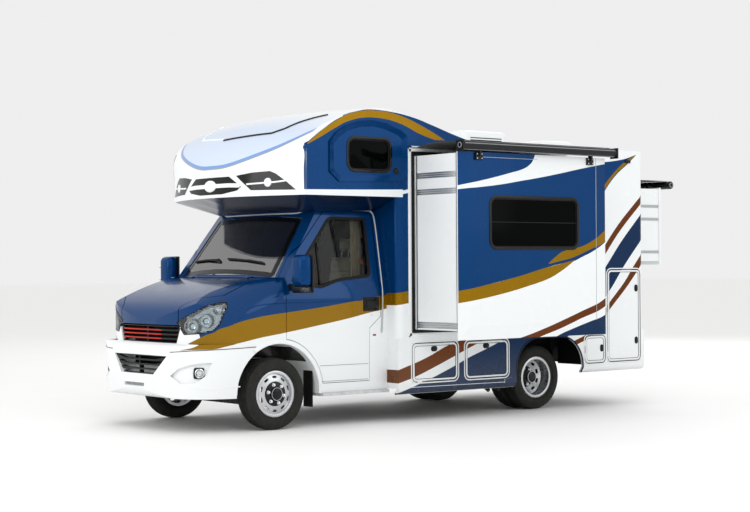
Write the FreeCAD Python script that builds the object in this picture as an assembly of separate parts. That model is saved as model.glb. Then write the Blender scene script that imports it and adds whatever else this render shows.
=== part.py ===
import FreeCAD, Part
import math
import os

V = FreeCAD.Vector

# Motorhome on a light-lorry chassis. X points forwards, Y to the vehicle's left, Z up.
# Sizes are millimetres. Shapes are drawn with X = 0 at the front axle and Y = 0 on the
# centre plane, and export() moves them so that the origin is under the whole box's centre.

# Wheels, tyres and axles
wheelbase = 3450
tyre_radius = 346
tyre_width = 195
bead_radius = 203
flange_radius = 222
rim_width = 152
rim_wall = 9
flange_thick = 8
dish_wall = 12
hub_radius = 62
disc_flat = 125
hand_holes = 10
hand_hole_radius = 11
hand_hole_length = 30
hand_hole_circle = 162
twin_pitch = 226
kingpin_radius = 13
spindle_radius = 28
bearing_gap = 0.05
kingpin_low = 215
kingpin_high = 470
arm_half = 45

# Body widths, and the wheels' places under them
cab_half = 1000
house_half = 1183
front_wheel_y = cab_half - 137
rear_wheel_y = house_half - 413
kingpin_y = front_wheel_y - 103

# Body lengths
rear_overhang = 1490
cab_rear = -1330
cab_front = 1000
house_front = cab_rear
house_rear = -wheelbase - rear_overhang
rear_arch_half = 500

# Ladder frame
rail_y = 430
rail_width = 64
rail_low = 500
rail_high = 620
rail_front = 800
rail_rear = house_rear + 25
bearer_width = 70
bearer_half = rear_wheel_y - 5
crossmember_thick = 30
spring_front = 650 - wheelbase
spring_rear = -650 - wheelbase
rear_flap_x = -450 - wheelbase
spring_eye_z = 500
spring_y = 510
spring_half = 30
axle_tube_half = rear_wheel_y - 150

# Tow flange's holes in the rear crossmember
tow_spacing_y = 120
tow_spacing_z = 55
tow_hole_radius = 7.5
tow_z = 470

# Exhaust under the left side
tank_length = 810
tank_rear = 1220 - wheelbase
silencer_front = 1030 - wheelbase
silencer_rear = 520 - wheelbase
silencer_y = rear_wheel_y - 125
silencer_z = 480
silencer_radius = 80
pipe_xs = (699 - wheelbase, 554 - wheelbase)
pipe_out_y = house_half - 223
pipe_out_z = 240
pipe_radius = 22

# Cab
cab_bottom = 330
cab_skin = 55
cab_floor_low = 625
cab_floor_high = 665
waist_z = 1460
bumper_top = 840
cab_roof = 2160
arch_radius = 480
arch_lip_width = 40
wheelhouse_in = front_wheel_y - 318
wheelhouse_wall = 10
door_gap = 6
door_rear_gap = 12
bonnet_thick = 22
bonnet_gap = 12
bonnet_front_low = 1016
hinge_x = -26
barrel_radius = 5
bonnet_axis_z = 1464
door_barrel_radius = 3
seat_gap = 0.3
door_axis_x = -92
door_axis_y = cab_half + door_barrel_radius + seat_gap
door_hinge_zs = (980, 1160)
mirror_out_y = cab_half + 300
seat_y = 440
glass_thick = 5
lamp_depth = 150
pocket_depth = 22
tow_slot = (428, 462)
tow_slot_half = 180

# Grilles: half width low and high, low z, high z
upper_grille = (cab_half - 500, cab_half - 440, bumper_top + 2, bonnet_front_low - bonnet_gap)
lower_grille = (cab_half - 705, cab_half - 515, 545, 724)
grille_slats = 4
grille_wall = 8

screen_slant = (-463, 0, 625)

# House body
house_roof_z = 2840
cooler_top = 3055
vent_top = 2985
wall = 40
corner_radius = 70
floor_low = 830
floor_high = 885
roof_thick = 45
skirt_thick = 25
skirt_roll = 62
sill_low = 275
rear_skirt_low = 380
rear_arch_top = 785
rear_arch_round = 330
window_radius = 85

# Overcab berth
overcab_low = 2250
overcab_nose = 115
overcab_seam = -190
overcab_wall = 35
dome_tail = -2380
berth_window = (-1250, -703, 2493, 2823)

# Left slide-out, drawn extended
slide_front = -1550
slide_rear = -3589
slide_low = 925
slide_high = 2664
slide_out_y = 1870
slide_wall = 40
slide_travel = 640
slide_inner_y = slide_out_y - slide_travel - 110
slide_gap = 12
face_low = 834
face_thick = 30
face_margin = 14
face_bevel = 140
face_bevel_deep = 18
slide_window = (-3183, -1946, 1727, 2246)

# Rear slide-out, drawn extended
rear_slide_half = 900
rear_slide_low = 1600
rear_slide_high = 2440
rear_slide_x = house_rear - 600
rear_slide_travel = 560
rear_slide_inner = rear_slide_x + rear_slide_travel + 100

# Slide toppers
roller_radius = 46
roller_y = slide_out_y + 42
roller_z = 2735
roller_front = -1530
roller_rear = -3680
rear_roller_x = rear_slide_x - 160
rear_roller_z = 2490
fabric_thick = 3
topper_rail_z = 2757
topper_rail_rear_z = 2514
topper_rail_out = 14

# Lockers: front x, rear x, low z, high z, hinge side
locker_thick = skirt_thick
locker_gap = 6
tub_depth = 380
tub_wall = 12
locker_first = house_front - 184
locker_last = 627 - wheelbase
locker_between = 114
locker_middle = (locker_first + locker_last) / 2
locker_rear_end = house_rear + 73
locker_tall_front = locker_rear_end + 522
locker_small_rear = locker_tall_front + 48
lockers_left = {
    "locker_door_1": (locker_first, locker_middle + locker_between / 2, 400, 779, "low"),
    "locker_door_2": (locker_middle - locker_between / 2, locker_last, 400, 779, "low"),
    "locker_door_3": (locker_small_rear + 312, locker_small_rear, 486, 779, "front"),
    "locker_door_4": (locker_tall_front, locker_rear_end, 490, 1503, "front"),
}
lockers_right = {"locker_door_5": lockers_left["locker_door_1"]}
bearer_xs = (house_front - 120, locker_middle, spring_front - 90, rear_flap_x, rail_rear + 515)

# Entry door in the right wall
entry_front = -2320
entry_rear = -2960
entry_low = 870
entry_high = 2640

# Right windows: rear x, front x, low z, high z
right_windows = [(house_rear + 490, entry_rear - 390, 1730, 2250), (-2150, -1600, 1800, 2250)]

pieces = {}
panes = []


def block(x0, x1, y0, y1, z0, z1):
    """Box between two opposite corners, given in any order."""
    low = V(min(x0, x1), min(y0, y1), min(z0, z1))
    return Part.makeBox(abs(x1 - x0), abs(y1 - y0), abs(z1 - z0), low)


def rod(start, end, radius):
    """Solid round bar between two points."""
    along = V(*end).sub(V(*start))
    return Part.makeCylinder(radius, along.Length, V(*start), along)


def curve(points):
    """Edge through the points: straight for two, else a smooth curve."""
    if len(points) == 2:
        return Part.LineSegment(points[0], points[1]).toShape()
    spline = Part.BSplineCurve()
    spline.interpolate(points)
    return spline.toShape()


def closed_wire(stretches):
    """Closed wire from stretches that share their end points."""
    return Part.Wire([curve(points) for points in stretches])


def polygon(points):
    """Closed wire of straight edges."""
    return Part.makePolygon(list(points) + [points[0]])


def side_view(stretches, y0, y1):
    """Solid from an outline in X and Z, drawn from y0 to y1."""
    wires = [[V(x, y0, z) for x, z in points] for points in stretches]
    return Part.Face(closed_wire(wires)).extrude(V(0, y1 - y0, 0))


def side_polygon(points, y0, y1):
    """Solid from straight lines in X and Z, drawn from y0 to y1."""
    wire = polygon([V(x, y0, z) for x, z in points])
    return Part.Face(wire).extrude(V(0, y1 - y0, 0))


def fused(shapes):
    """One shape from several that touch or overlap."""
    first, rest = shapes[0], list(shapes[1:])
    return first.fuse(rest).removeSplitter() if rest else first


def mirrored(shape):
    """The same shape on the vehicle's other side."""
    return shape.mirror(V(0, 0, 0), V(0, 1, 0))


def both_sides(shape):
    """The shape and its mirror image as separate solids."""
    return Part.makeCompound([shape, mirrored(shape)])


def half_plan(points, z0, z1):
    """Solid from a half outline in X and Y, mirrored, drawn from z0 to z1."""
    left = [V(x, y, z0) for x, y in points[1:]]
    right = [V(x, -y, z0) for x, y in reversed(points[1:-1])]
    rear = V(points[0][0], points[0][1], z0)
    rear_right = V(points[0][0], -points[0][1], z0)
    edges = [curve([rear, left[0]]), curve(left + right)]
    edges += [curve([right[-1], rear_right]), curve([rear_right, rear])]
    return Part.Face(Part.Wire(edges)).extrude(V(0, 0, z1 - z0))


def tumble_form(inset):
    """Cab's front view: upright sides that lean in above the waist."""
    half = cab_half - inset
    side = [(half, cab_bottom - 100), (half, 1250)]
    shoulder = [(half, 1250), (half - 14, 1370), (half - 38, waist_z)]
    pillar = [(half - 38, waist_z), (half - 142, 2070 - inset)]
    top = [(half - 142, 2070 - inset), (half - 185, 2140 - inset), (half - 300, cab_roof - inset)]
    left = [side, shoulder, pillar, top]
    edges = [[V(-1500, y, z) for y, z in part] for part in left]
    edges.append([V(-1500, half - 300, cab_roof - inset), V(-1500, 300 - half, cab_roof - inset)])
    edges += [[V(-1500, -y, z) for y, z in reversed(part)] for part in reversed(left)]
    edges.append([V(-1500, -half, cab_bottom - 100), V(-1500, half, cab_bottom - 100)])
    return Part.Face(closed_wire(edges)).extrude(V(2600, 0, 0))


def lower_form(inset):
    """Bumper height of the cab, up to the bottom of the upper grille."""
    low = cab_bottom - (100 if inset else 0)
    front = [(930, low), (985, 375), (cab_front, 455), (968, 530)]
    face = [(968, 530), (930, 730)]
    brow = [(930, 730), (915, 785), (858, bumper_top)]
    outline = [[(cab_rear, low), (930, low)], front, face, brow,
               [(858, bumper_top), (cab_rear, bumper_top)], [(cab_rear, bumper_top), (cab_rear, low)]]
    form = side_view(outline, -cab_half - 100, cab_half + 100)
    half = cab_half - inset
    plan = half_plan([(cab_rear - 100, half), (350, half), (640, half - 50), (820, half - 170),
                      (930, half - 390 + inset / 2), (985, cab_half - 680), (cab_front + 1, 0)], 0, 1000)
    form.translate(V(-inset, 0, 0))
    plan.translate(V(-inset / 2, 0, 0))
    return form.common(plan)


def nose_section(x, side_top, mid, top, inset):
    """Front view of the bonnet and wings at one station."""
    half = cab_half - inset
    low = bumper_top
    mid_y, mid_z = mid
    top_y, top_z = top
    left = [[(half, low), (half, side_top - inset)],
            [(half, side_top - inset), (mid_y - inset, mid_z - inset), (top_y - inset, top_z - inset)]]
    edges = [[V(x, y, z) for y, z in part] for part in left]
    edges.append([V(x, top_y - inset, top_z - inset), V(x, inset - top_y, top_z - inset)])
    edges += [[V(x, -y, z) for y, z in reversed(part)] for part in reversed(left)]
    edges.append([V(x, -half, low), V(x, half, low)])
    return closed_wire(edges)


def nose_form(inset):
    """Bonnet and wings, with round shoulders that widen towards the front."""
    half = cab_half
    sections = [nose_section(-60 - inset, 1250, (half - 22, 1400), (half - 120, 1478), inset),
                nose_section(500 - inset, 1060, (half - 110, 1240), (half - 360, 1360), inset),
                nose_section(900 - inset, 880, (half - 150, 1090), (half - 440, 1210), inset)]
    loft = Part.makeLoft(sections, True, False)
    rise = [(856, 1030), (846, 1110), (808, 1180), (730, 1245), (510, 1345), (200, 1425), (-60, waist_z)]
    outline = [[(-60, bumper_top), (858, bumper_top)], [(858, bumper_top), (856, 1030)], rise,
               [(-60, waist_z), (-60, bumper_top)]]
    side = side_view(outline, -half - 100, half + 100)
    side.translate(V(-inset, 0, -inset))
    plan = half_plan([(-1500, half - inset), (300, half - inset), (500, half - 32 - inset),
                      (655, half - 115 - inset), (765, half - 260 - inset), (828, half - 500 - inset / 2),
                      (853, half - 760), (859, 0)], bumper_top - 100, 1600)
    plan.translate(V(-inset / 2, 0, 0))
    return loft.common(side).common(plan)


def screen_prism(forward):
    """Everything behind the bowed windscreen plane, which is moved forward."""
    wide = cab_half + 100
    bow = [V(-145, -wide, waist_z), V(15, 0, waist_z), V(-145, wide, waist_z)]
    rear = -2600
    edges = [Part.Arc(*bow).toShape(), curve([bow[2], V(rear, wide, waist_z)]),
             curve([V(rear, wide, waist_z), V(rear, -wide, waist_z)]),
             curve([V(rear, -wide, waist_z), bow[0]])]
    screen = Part.Face(Part.Wire(edges))
    screen.translate(V(forward, 0, 0))
    return screen.extrude(V(*screen_slant) * 1.25)


def greenhouse_form(inset):
    """Windscreen, roof and door frames, above the waist."""
    roof_front = [(-475, 2085), (-590, 2138), (-760, cab_roof)]
    outline = [[(cab_rear, bumper_top), (-55, bumper_top)], [(-55, bumper_top), (-55, waist_z - 30)],
               [(-55, waist_z - 30), (-12, waist_z)], [(-12, waist_z), (-475, 2085)], roof_front,
               [(-760, cab_roof), (cab_rear, cab_roof)], [(cab_rear, cab_roof), (cab_rear, bumper_top)]]
    form = side_view(outline, -cab_half - 100, cab_half + 100)
    form.translate(V(-inset, 0, -inset))
    upper = screen_prism(-inset)
    lower = block(-2600, 50, -cab_half - 100, cab_half + 100, 0, waist_z)
    return form.common(upper.fuse(lower))


def cab_form(inset):
    """The whole cab as one closed solid, its skin moved in by inset."""
    rear = greenhouse_form(inset).common(tumble_form(inset))
    return fused([lower_form(inset), nose_form(inset), rear])


def door_outline(grow):
    """Cab door in side view, grown by its gap all round."""
    front = -95 + grow
    rear = -1246 - grow * door_rear_gap / door_gap
    arc = arch_radius + arch_lip_width + 15 - grow
    arc_points = []
    for step in range(5):
        angle = math.radians(172 - 17.5 * step)
        arc_points.append((arc * math.cos(angle), tyre_radius + arc * math.sin(angle)))
    low = 428 - grow
    arc_points[0] = (arc_points[0][0], low)
    arc_points[-1] = (front, arc_points[-1][1])
    top = 2098 + grow
    return [arc_points,
            [arc_points[-1], (front, 1520 + grow)], [(front, 1520 + grow), (-645 + grow, top)],
            [(-645 + grow, top), (rear, top)], [(rear, top), (rear, 1060)],
            [(rear, 1060), (-1108 - grow, 950 - grow)], [(-1108 - grow, 950 - grow), (-1100 - grow, low)],
            [(-1100 - grow, low), arc_points[0]]]


def door_zone(grow):
    """Left cab door's space in the cab's skin, outside the windscreen's edge."""
    half = cab_half
    lean = [(half - 400, 0), (half - 400, 1300), (half - 122 - grow, 1460), (half - 228 - grow, 2070),
            (half - 260 - grow, 2200), (half + 300, 2200), (half + 300, 0)]
    outside = Part.Face(polygon([V(-1500, y, z) for y, z in lean])).extrude(V(1800, 0, 0))
    return side_view(door_outline(grow), half - 400, half + 200).common(outside)


def window_zone(grow):
    """Left cab door's window, grown by its rebate."""
    points = [(-190, 1462), (-500, 1350), (-740, 1425), (-1150, 1465), (-1160, 2040), (-705, 2045)]
    middle = (sum(x for x, z in points) / 6, sum(z for x, z in points) / 6)
    wider = []
    for x, z in points:
        away = math.hypot(x - middle[0], z - middle[1])
        wider.append((x + (x - middle[0]) / away * grow, z + (z - middle[1]) / away * grow))
    return side_polygon(wider, cab_half - 400, cab_half + 200)


def bonnet_zone(grow):
    """Bonnet's space, seen from above."""
    wide = cab_half + grow
    half = [(-20, wide - 200), (500, wide - 188), (640, wide - 265), (800, wide - 480), (1100, wide - 480)]
    points = [V(x, y, 1000) for x, y in half] + [V(x, -y, 1000) for x, y in reversed(half)]
    points[0].x = points[-1].x = -20 - grow
    above = Part.Face(polygon(points)).extrude(V(0, 0, 700))
    cut = side_polygon([(-200, 1000), (700, 1000), (700, bonnet_front_low - grow),
                        (1100, bonnet_front_low - grow), (1100, 900),
                        (-200, 900)], -cab_half - 100, cab_half + 100)
    return above.cut(cut)


def windscreen_zone(grow):
    """Windscreen's opening, drawn along the screen's normal."""
    low, high, half_low, half_high = waist_z + 32, 2068, cab_half - 165, cab_half - 265
    corners = [(half_low, low), (-half_low, low), (-half_high, high), (half_high, high)]
    slope = screen_slant[0] / screen_slant[2]
    points = []
    for y, z in corners:
        side = 1 if y > 0 else -1
        rise = 1 if z > 1800 else -1
        points.append(V((z - waist_z) * slope, y + side * grow, z + rise * grow))
    face = Part.Face(polygon(points))
    out = V(screen_slant[2], 0, -screen_slant[0])
    out.normalize()
    face.translate(out * -260)
    return face.extrude(out * 500)


def lamp_zone():
    """Left headlamp's outline, drawn along a line from the front left corner."""
    half = cab_half
    outline = [V(829, half - 507, 1045), V(810, half - 397, 925), V(744, half - 222, 937), V(657, half - 117, 966),
               V(612, half - 84, 1021), V(527, half - 75, 1188), V(514, half - 111, 1234), V(573, half - 141, 1235),
               V(715, half - 179, 1200), V(790, half - 322, 1124)]
    return corner_zone(outline, 1190 + lamp_depth)


def corner_zone(outline, length):
    """Solid from an outline, drawn inwards from ahead of the cab's left front corner."""
    into = V(-1, -1, 0)
    into.normalize()
    along = [p.sub(into * p.dot(into)) for p in outline]
    wire = polygon([p.add(into * -2200) for p in along])
    return Part.Face(wire).extrude(into * length)


def bumper_recesses(form):
    """Shallow pockets round the fog lamps, and the slot between them."""
    half = cab_half
    outline = [V(943, half - 436, 543), V(914, half - 340, 612), V(858, half - 220, 652), V(760, half - 115, 671),
               V(705, half - 81, 670), V(753, half - 111, 550), V(823, half - 173, 485), V(906, half - 319, 472)]
    pocket = corner_zone(outline, 1340).common(form)
    deeper = form.copy()
    deeper.translate(V(-pocket_depth, -pocket_depth, 0))
    pocket = pocket.cut(deeper)
    slot = block(900, 1100, -tow_slot_half, tow_slot_half, *tow_slot).common(form)
    deeper = form.copy()
    deeper.translate(V(-pocket_depth, 0, 0))
    return [pocket, mirrored(pocket), slot.cut(deeper)]


def arch_cut(radius, y0, y1):
    """Round space above the left front wheel."""
    round_part = rod((0, y0, tyre_radius), (0, y1, tyre_radius), radius)
    return round_part.fuse(block(-radius, radius, y0, y1, tyre_radius - 300, tyre_radius))


def bumper_zone():
    """Front bumper's space, ahead of the wheel arch."""
    outline = [(540, 200), (1200, 200), (1200, bumper_top), (790, bumper_top), (655, 918), (560, 918),
               (300, 812), (300, 500)]
    return side_polygon(outline, -cab_half - 200, cab_half + 200)


def grille_zone(half_low, half_high, low, high, x0, x1):
    """Grille's opening, seen from the front."""
    points = [V(x0, -half_low, low), V(x0, half_low, low), V(x0, half_high, high), V(x0, -half_high, high)]
    return Part.Face(polygon(points)).extrude(V(x1 - x0, 0, 0))


def make_grille(half_low, half_high, low, high, front):
    """Frame and curved slats of one grille, standing back from the skin."""
    opening = grille_zone(half_low, half_high, low, high, front - 150, front)
    wide = cab_half - 300
    plan = half_plan([(front - 300, wide), (front - 60, wide - 100), (front - 22, wide - 300), (front - 10, 0)],
                     low - 1, high + 1)
    opening = opening.common(plan)
    back = plan.copy()
    back.translate(V(-45, 0, 0))
    body = opening.cut(back)
    pitch = (high - low) / grille_slats
    for count in range(grille_slats):
        z = low + pitch * (count + 0.5)
        gap_half = pitch / 2 - grille_wall
        slot = grille_zone(half_low - 15, half_high - 15, z - gap_half, z + gap_half, front - 400, front)
        body = body.cut(slot.common(opening))
    rib = grille_zone(8, 8, low, high, front - 150, front).common(opening).cut(back)
    ribs = [body, rib]
    return fused(ribs)


def hinge_barrel(start, end, radius, leaf):
    """Round hinge barrel with the leaf that fixes it to its door."""
    return rod(start, end, radius).fuse(leaf)


def make_cab():
    """Cab shell, bonnet, bumper, doors and glass, all cut from the same form."""
    form = cab_form(0)
    skin = form.cut(cab_form(cab_skin))
    thin_skin = form.cut(cab_form(bonnet_thick))

    lamp = lamp_zone()
    lamps = lamp.fuse(mirrored(lamp))
    headlamps = both_sides(skin.common(lamp).cut(bonnet_zone(bonnet_gap)))
    tail_lamp = block(house_rear - 22, house_rear, 960, 1090, 1000, 1330)
    tail_lamps = both_sides(tail_lamp.makeFillet(10, tail_lamp.Edges))
    pieces["lamps"] = Part.makeCompound(headlamps.Solids + tail_lamps.Solids)
    left_arch = arch_cut(arch_radius, wheelhouse_in, cab_half + 300)
    arches = left_arch.fuse(mirrored(left_arch))

    openings = [bonnet_zone(bonnet_gap), windscreen_zone(0), lamps, bumper_zone(),
                grille_zone(*upper_grille, 600, 1200), arches,
                door_zone(door_gap), mirrored(door_zone(door_gap))]
    shell = skin
    for opening in openings:
        shell = shell.cut(opening)
    lining = arch_cut(arch_radius + wheelhouse_wall, wheelhouse_in, cab_half - cab_skin)
    lining = lining.cut(arch_cut(arch_radius, wheelhouse_in - 1, cab_half))
    lining = lining.cut(block(-600, 600, wheelhouse_in - 50, cab_half + 100, -300, cab_bottom))
    lining = lining.cut(bumper_zone())
    bulkhead = block(-110, -80, 130 - cab_half, cab_half - 130, tyre_radius + arch_radius, 1400)
    toe_board = block(-arch_radius, -arch_radius + 25, -wheelhouse_in, wheelhouse_in, cab_floor_low, 850)
    toe_deck = block(-arch_radius + 25, -80, -wheelhouse_in, wheelhouse_in, 830, 850)
    inner = cab_half - cab_skin
    floor = block(cab_rear, -arch_radius, -inner, inner, cab_floor_low, cab_floor_high)
    corner = block(-arch_radius - wheelhouse_wall, 0, wheelhouse_in, cab_half, 600, 700)
    floor = floor.cut(corner).cut(mirrored(corner))
    sill = block(cab_rear, -arch_radius - wheelhouse_wall, inner - 65, inner, cab_bottom, cab_floor_low)
    post = block(-40, hinge_x, 480, 520, 1380, bonnet_axis_z - barrel_radius - seat_gap)
    shell = fused([shell, lining, mirrored(lining), bulkhead, toe_board, toe_deck, floor, sill, mirrored(sill),
                   post, mirrored(post)])
    pieces["cab_shell"] = shell

    bonnet = thin_skin.common(bonnet_zone(0))
    barrel = hinge_barrel((hinge_x, 480, bonnet_axis_z), (hinge_x, 520, bonnet_axis_z), barrel_radius,
                          block(hinge_x, 30, 480, 520, bonnet_axis_z - 12, bonnet_axis_z - 3))
    pieces["bonnet"] = fused([bonnet, barrel, mirrored(barrel)])
    screen_slab = screen_prism(-8).cut(screen_prism(-8 - glass_thick * 1.25))
    panes.append(screen_slab.common(windscreen_zone(0)))

    bumper = skin.common(bumper_zone()).cut(lamps).cut(arches)
    bumper = bumper.cut(grille_zone(*lower_grille, 600, 1200)).cut(grille_zone(*upper_grille, 600, 1200))
    for recess in bumper_recesses(form):
        bumper = bumper.cut(recess)
    beam = block(rail_front, rail_front + 40, -470, 470, rail_low, rail_high)
    horns = [block(rail_front, 930, y, y + 50, 505, 540) for y in (-420, 370)]
    pieces["front_bumper"] = fused([bumper, beam] + horns)
    upper = make_grille(*upper_grille, 850).cut(lamps)
    lower = make_grille(*lower_grille, 945)
    pieces["grilles"] = Part.makeCompound([upper, lower])

    for side in ("left", "right"):
        door = skin.common(door_zone(0)).cut(window_zone(0))
        barrels = []
        for z in door_hinge_zs:
            leaf = block(door_axis_x, door_axis_x - 30, cab_half, cab_half + 3, z, z + 60)
            barrels.append(hinge_barrel((door_axis_x, door_axis_y, z), (door_axis_x, door_axis_y, z + 60),
                                        door_barrel_radius, leaf))
        door = fused([door] + barrels)
        lean = (cab_half - 38, waist_z), (cab_half - 142, 2070)
        run = (lean[1][0] - lean[0][0]) / (lean[1][1] - lean[0][1])
        low, high = 1300, 2090
        inner = [V(-1300, lean[0][0] + run * (z - waist_z) - 28, z) for z in (low, high)]
        outer = [V(p.x, p.y + glass_thick, p.z) for p in reversed(inner)]
        slab = Part.Face(polygon(inner + outer)).extrude(V(1300, 0, 0))
        glass = slab.common(window_zone(0))
        mirror = make_mirror().cut(form)
        if side == "right":
            door, glass, mirror = mirrored(door), mirrored(glass), mirrored(mirror)
        pieces["cab_door_" + side] = door
        pieces["door_glass_" + side] = glass
        pieces["mirror_" + side] = mirror


def make_mirror():
    """Left mirror head on its arm."""
    head = block(-205, -70, mirror_out_y - 220, mirror_out_y, 1310, 1680)
    head = head.makeFillet(38, head.Edges)
    arm = block(-195, -125, cab_half - 40, mirror_out_y - 200, 1335, 1400)
    return fused([head, arm])


def make_chassis():
    """Ladder frame with rails, bearers and the rear crossmember."""
    rails = []
    for y in (rail_y, -rail_y):
        rails.append(block(rail_front, rail_rear, y - rail_width / 2, y + rail_width / 2, rail_low, rail_high))
    bearers = [block(x - bearer_width / 2, x + bearer_width / 2, -bearer_half, bearer_half, rail_high, floor_low)
               for x in bearer_xs]
    crossmember = block(rail_rear, rail_rear + crossmember_thick, -bearer_half, bearer_half, rail_low - 90, floor_low)
    for y in (-tow_spacing_y / 2, tow_spacing_y / 2):
        for z in (tow_z - tow_spacing_z / 2, tow_z + tow_spacing_z / 2):
            crossmember = crossmember.cut(rod((rail_rear - 1, y, z), (rail_rear + 60, y, z), tow_hole_radius))
    hangers = []
    for x in (spring_front, spring_rear):
        for side in (1, -1):
            hangers.append(block(x - 40, x + 40, side * (rail_y + rail_width / 2), side * (spring_y + spring_half),
                                 spring_eye_z + 15, rail_high))
    cab_mounts = [block(x - 40, x + 40, side * (rail_y - 30), side * (rail_y + 30), rail_high, cab_floor_low)
                  for x in (-560, -1250) for side in (1, -1)]
    pieces["chassis_frame"] = fused(rails + bearers + [crossmember] + hangers + cab_mounts)


def make_axles():
    """Front suspension with kingpins, knuckles, and the sprung rear axle."""
    arms = []
    for side in (1, -1):
        y0, y1 = side * (rail_y - 30), side * (kingpin_y + 32)
        arms.append(block(-arm_half, arm_half, y0, y1, kingpin_low, kingpin_low + 35))
        arms.append(block(-32, 32, y0, y1, kingpin_high - 28, kingpin_high))
        arms.append(block(-arm_half, arm_half, y0, side * (rail_y + 40), kingpin_low, rail_low))
        arms.append(rod((0, side * kingpin_y, kingpin_low), (0, side * kingpin_y, kingpin_high), kingpin_radius))
    beam = block(-arm_half, arm_half, -rail_y, rail_y, kingpin_low, kingpin_low + 75)
    pieces["front_suspension"] = fused([beam] + arms)

    for side, name in ((1, "left"), (-1, "right")):
        bearing = rod((0, side * kingpin_y, kingpin_low + 35.5), (0, side * kingpin_y, kingpin_high - 28.5), 34)
        spindle = rod((0, side * kingpin_y, tyre_radius), (0, side * (front_wheel_y + 60), tyre_radius), spindle_radius)
        flange = rod((0, side * kingpin_y, tyre_radius), (0, side * (kingpin_y + 60), tyre_radius), 48)
        knuckle = fused([bearing, spindle, flange])
        knuckle = knuckle.cut(rod((0, side * kingpin_y, 200), (0, side * kingpin_y, 500),
                                  kingpin_radius + bearing_gap))
        pieces["knuckle_" + name] = knuckle

    axle = [rod((-wheelbase, -axle_tube_half, tyre_radius), (-wheelbase, axle_tube_half, tyre_radius), 55),
            Part.makeSphere(150, V(-wheelbase, 0, tyre_radius))]
    for side in (1, -1):
        axle.append(rod((-wheelbase, side * (axle_tube_half - 20), tyre_radius), (-wheelbase, side * (rear_wheel_y + 60), tyre_radius),
                        spindle_radius))
        leaf = [(spring_front - 40, spring_eye_z), (-wheelbase + 120, tyre_radius + 55), (-wheelbase - 120, tyre_radius + 55),
                (spring_rear + 40, spring_eye_z)]
        low = [(x, z + 15) for x, z in reversed(leaf)]
        spring = side_polygon(leaf + low, side * (spring_y - spring_half), side * (spring_y + spring_half))
        eyes = [block(x - 40, x + 40, side * (spring_y - spring_half), side * (spring_y + spring_half),
                      spring_eye_z, spring_eye_z + 15)
                for x in (spring_front, spring_rear)]
        axle += [spring] + eyes
        axle.append(block(-wheelbase - 110, -wheelbase + 110, side * (spring_y - spring_half), side * (spring_y + spring_half),
                          tyre_radius, tyre_radius + 62))
    pieces["rear_axle"] = fused(axle)


def make_underbody():
    """Engine, radiator, tanks and silencer."""
    engine = block(90, 700, -260, 260, 430, 1060)
    gearbox = block(-650, 90, -170, 170, 400, 600)
    inside = rail_y - rail_width / 2
    mounts = [block(350, 450, side * 260, side * inside, rail_low + 20, rail_high - 20) for side in (1, -1)]
    shaft = rod((-650, 0, 470), (-wheelbase + 140, 0, tyre_radius + 20), 38)
    pieces["engine"] = fused([engine, gearbox, shaft.cut(pieces["rear_axle"])] + mounts)
    fuel = block(tank_rear + tank_length, tank_rear, rail_y + 50, bearer_half - 5, 340, rail_high)
    exhaust = [rod((silencer_front, silencer_y, silencer_z), (silencer_rear, silencer_y, silencer_z), silencer_radius)]
    hanger_x = spring_front - 90
    exhaust.append(block(hanger_x - 25, hanger_x + 25, silencer_y - 50, silencer_y + 50, silencer_z, rail_high))
    for x in pipe_xs:
        exhaust.append(rod((x, silencer_y, silencer_z - 70), (x, pipe_out_y, pipe_out_z), pipe_radius))
    pieces["tanks"] = Part.makeCompound([fuel, mirrored(fuel), fused(exhaust)])


def revolved(points, centre):
    """Ring turned about a wheel's axle from a closed outline of (radius, y)."""
    wire = polygon([V(centre[0] + r, y, centre[2]) for r, y in points])
    return Part.Face(wire).revolve(V(*centre), V(0, 1, 0), 360)


def make_tyre(x, y):
    """One tyre with a crowned tread and bulging side walls."""
    half = tyre_width / 2
    centre = V(x, y, tyre_radius)
    outer = [V(x + tyre_radius - 12, y - 76, tyre_radius), V(x + tyre_radius, y, tyre_radius),
             V(x + tyre_radius - 12, y + 76, tyre_radius)]
    bead_half = rim_width / 2 - flange_thick
    wall_low = [V(x + flange_radius + 1, y - bead_half, tyre_radius), V(x + 278, y - half, tyre_radius), outer[0]]
    wall_high = [outer[2], V(x + 278, y + half, tyre_radius), V(x + flange_radius + 1, y + bead_half, tyre_radius)]
    bead_low = V(x + bead_radius, y - bead_half, tyre_radius)
    bead_high = V(x + bead_radius, y + bead_half, tyre_radius)
    edges = [Part.Arc(*wall_low).toShape(), Part.Arc(*outer).toShape(), Part.Arc(*wall_high).toShape(),
             curve([wall_high[-1], bead_high]), curve([bead_high, bead_low]), curve([bead_low, wall_low[0]])]
    return Part.Face(Part.Wire(edges)).revolve(centre, V(0, 1, 0), 360)


def make_rim(x, y, dish, edge):
    """Rim barrel and its holed disc, at dish by the hub and at edge by the barrel."""
    half = rim_width / 2
    bead = bead_radius
    wall_r = bead - rim_wall
    t = flange_thick
    outline = [(bead, y - half + t), (flange_radius, y - half + t), (flange_radius, y - half), (wall_r, y - half),
               (wall_r, y + half), (flange_radius, y + half), (flange_radius, y + half - t), (bead, y + half - t)]
    centre = (x, y, tyre_radius)
    barrel = revolved(outline, centre)
    disc = [(spindle_radius + bearing_gap, dish), (disc_flat, dish), (wall_r, edge),
            (wall_r, edge + dish_wall), (disc_flat, dish + dish_wall),
            (spindle_radius + bearing_gap, dish + dish_wall)]
    disc = revolved(disc, centre)
    slot = hand_hole(x + hand_hole_circle, dish - 60, dish + 60)
    for count in range(hand_holes):
        turned = slot.copy()
        turned.rotate(V(*centre), V(0, 1, 0), 360 * (count + 0.5) / hand_holes)
        disc = disc.cut(turned)
    return barrel.fuse(disc)


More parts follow.
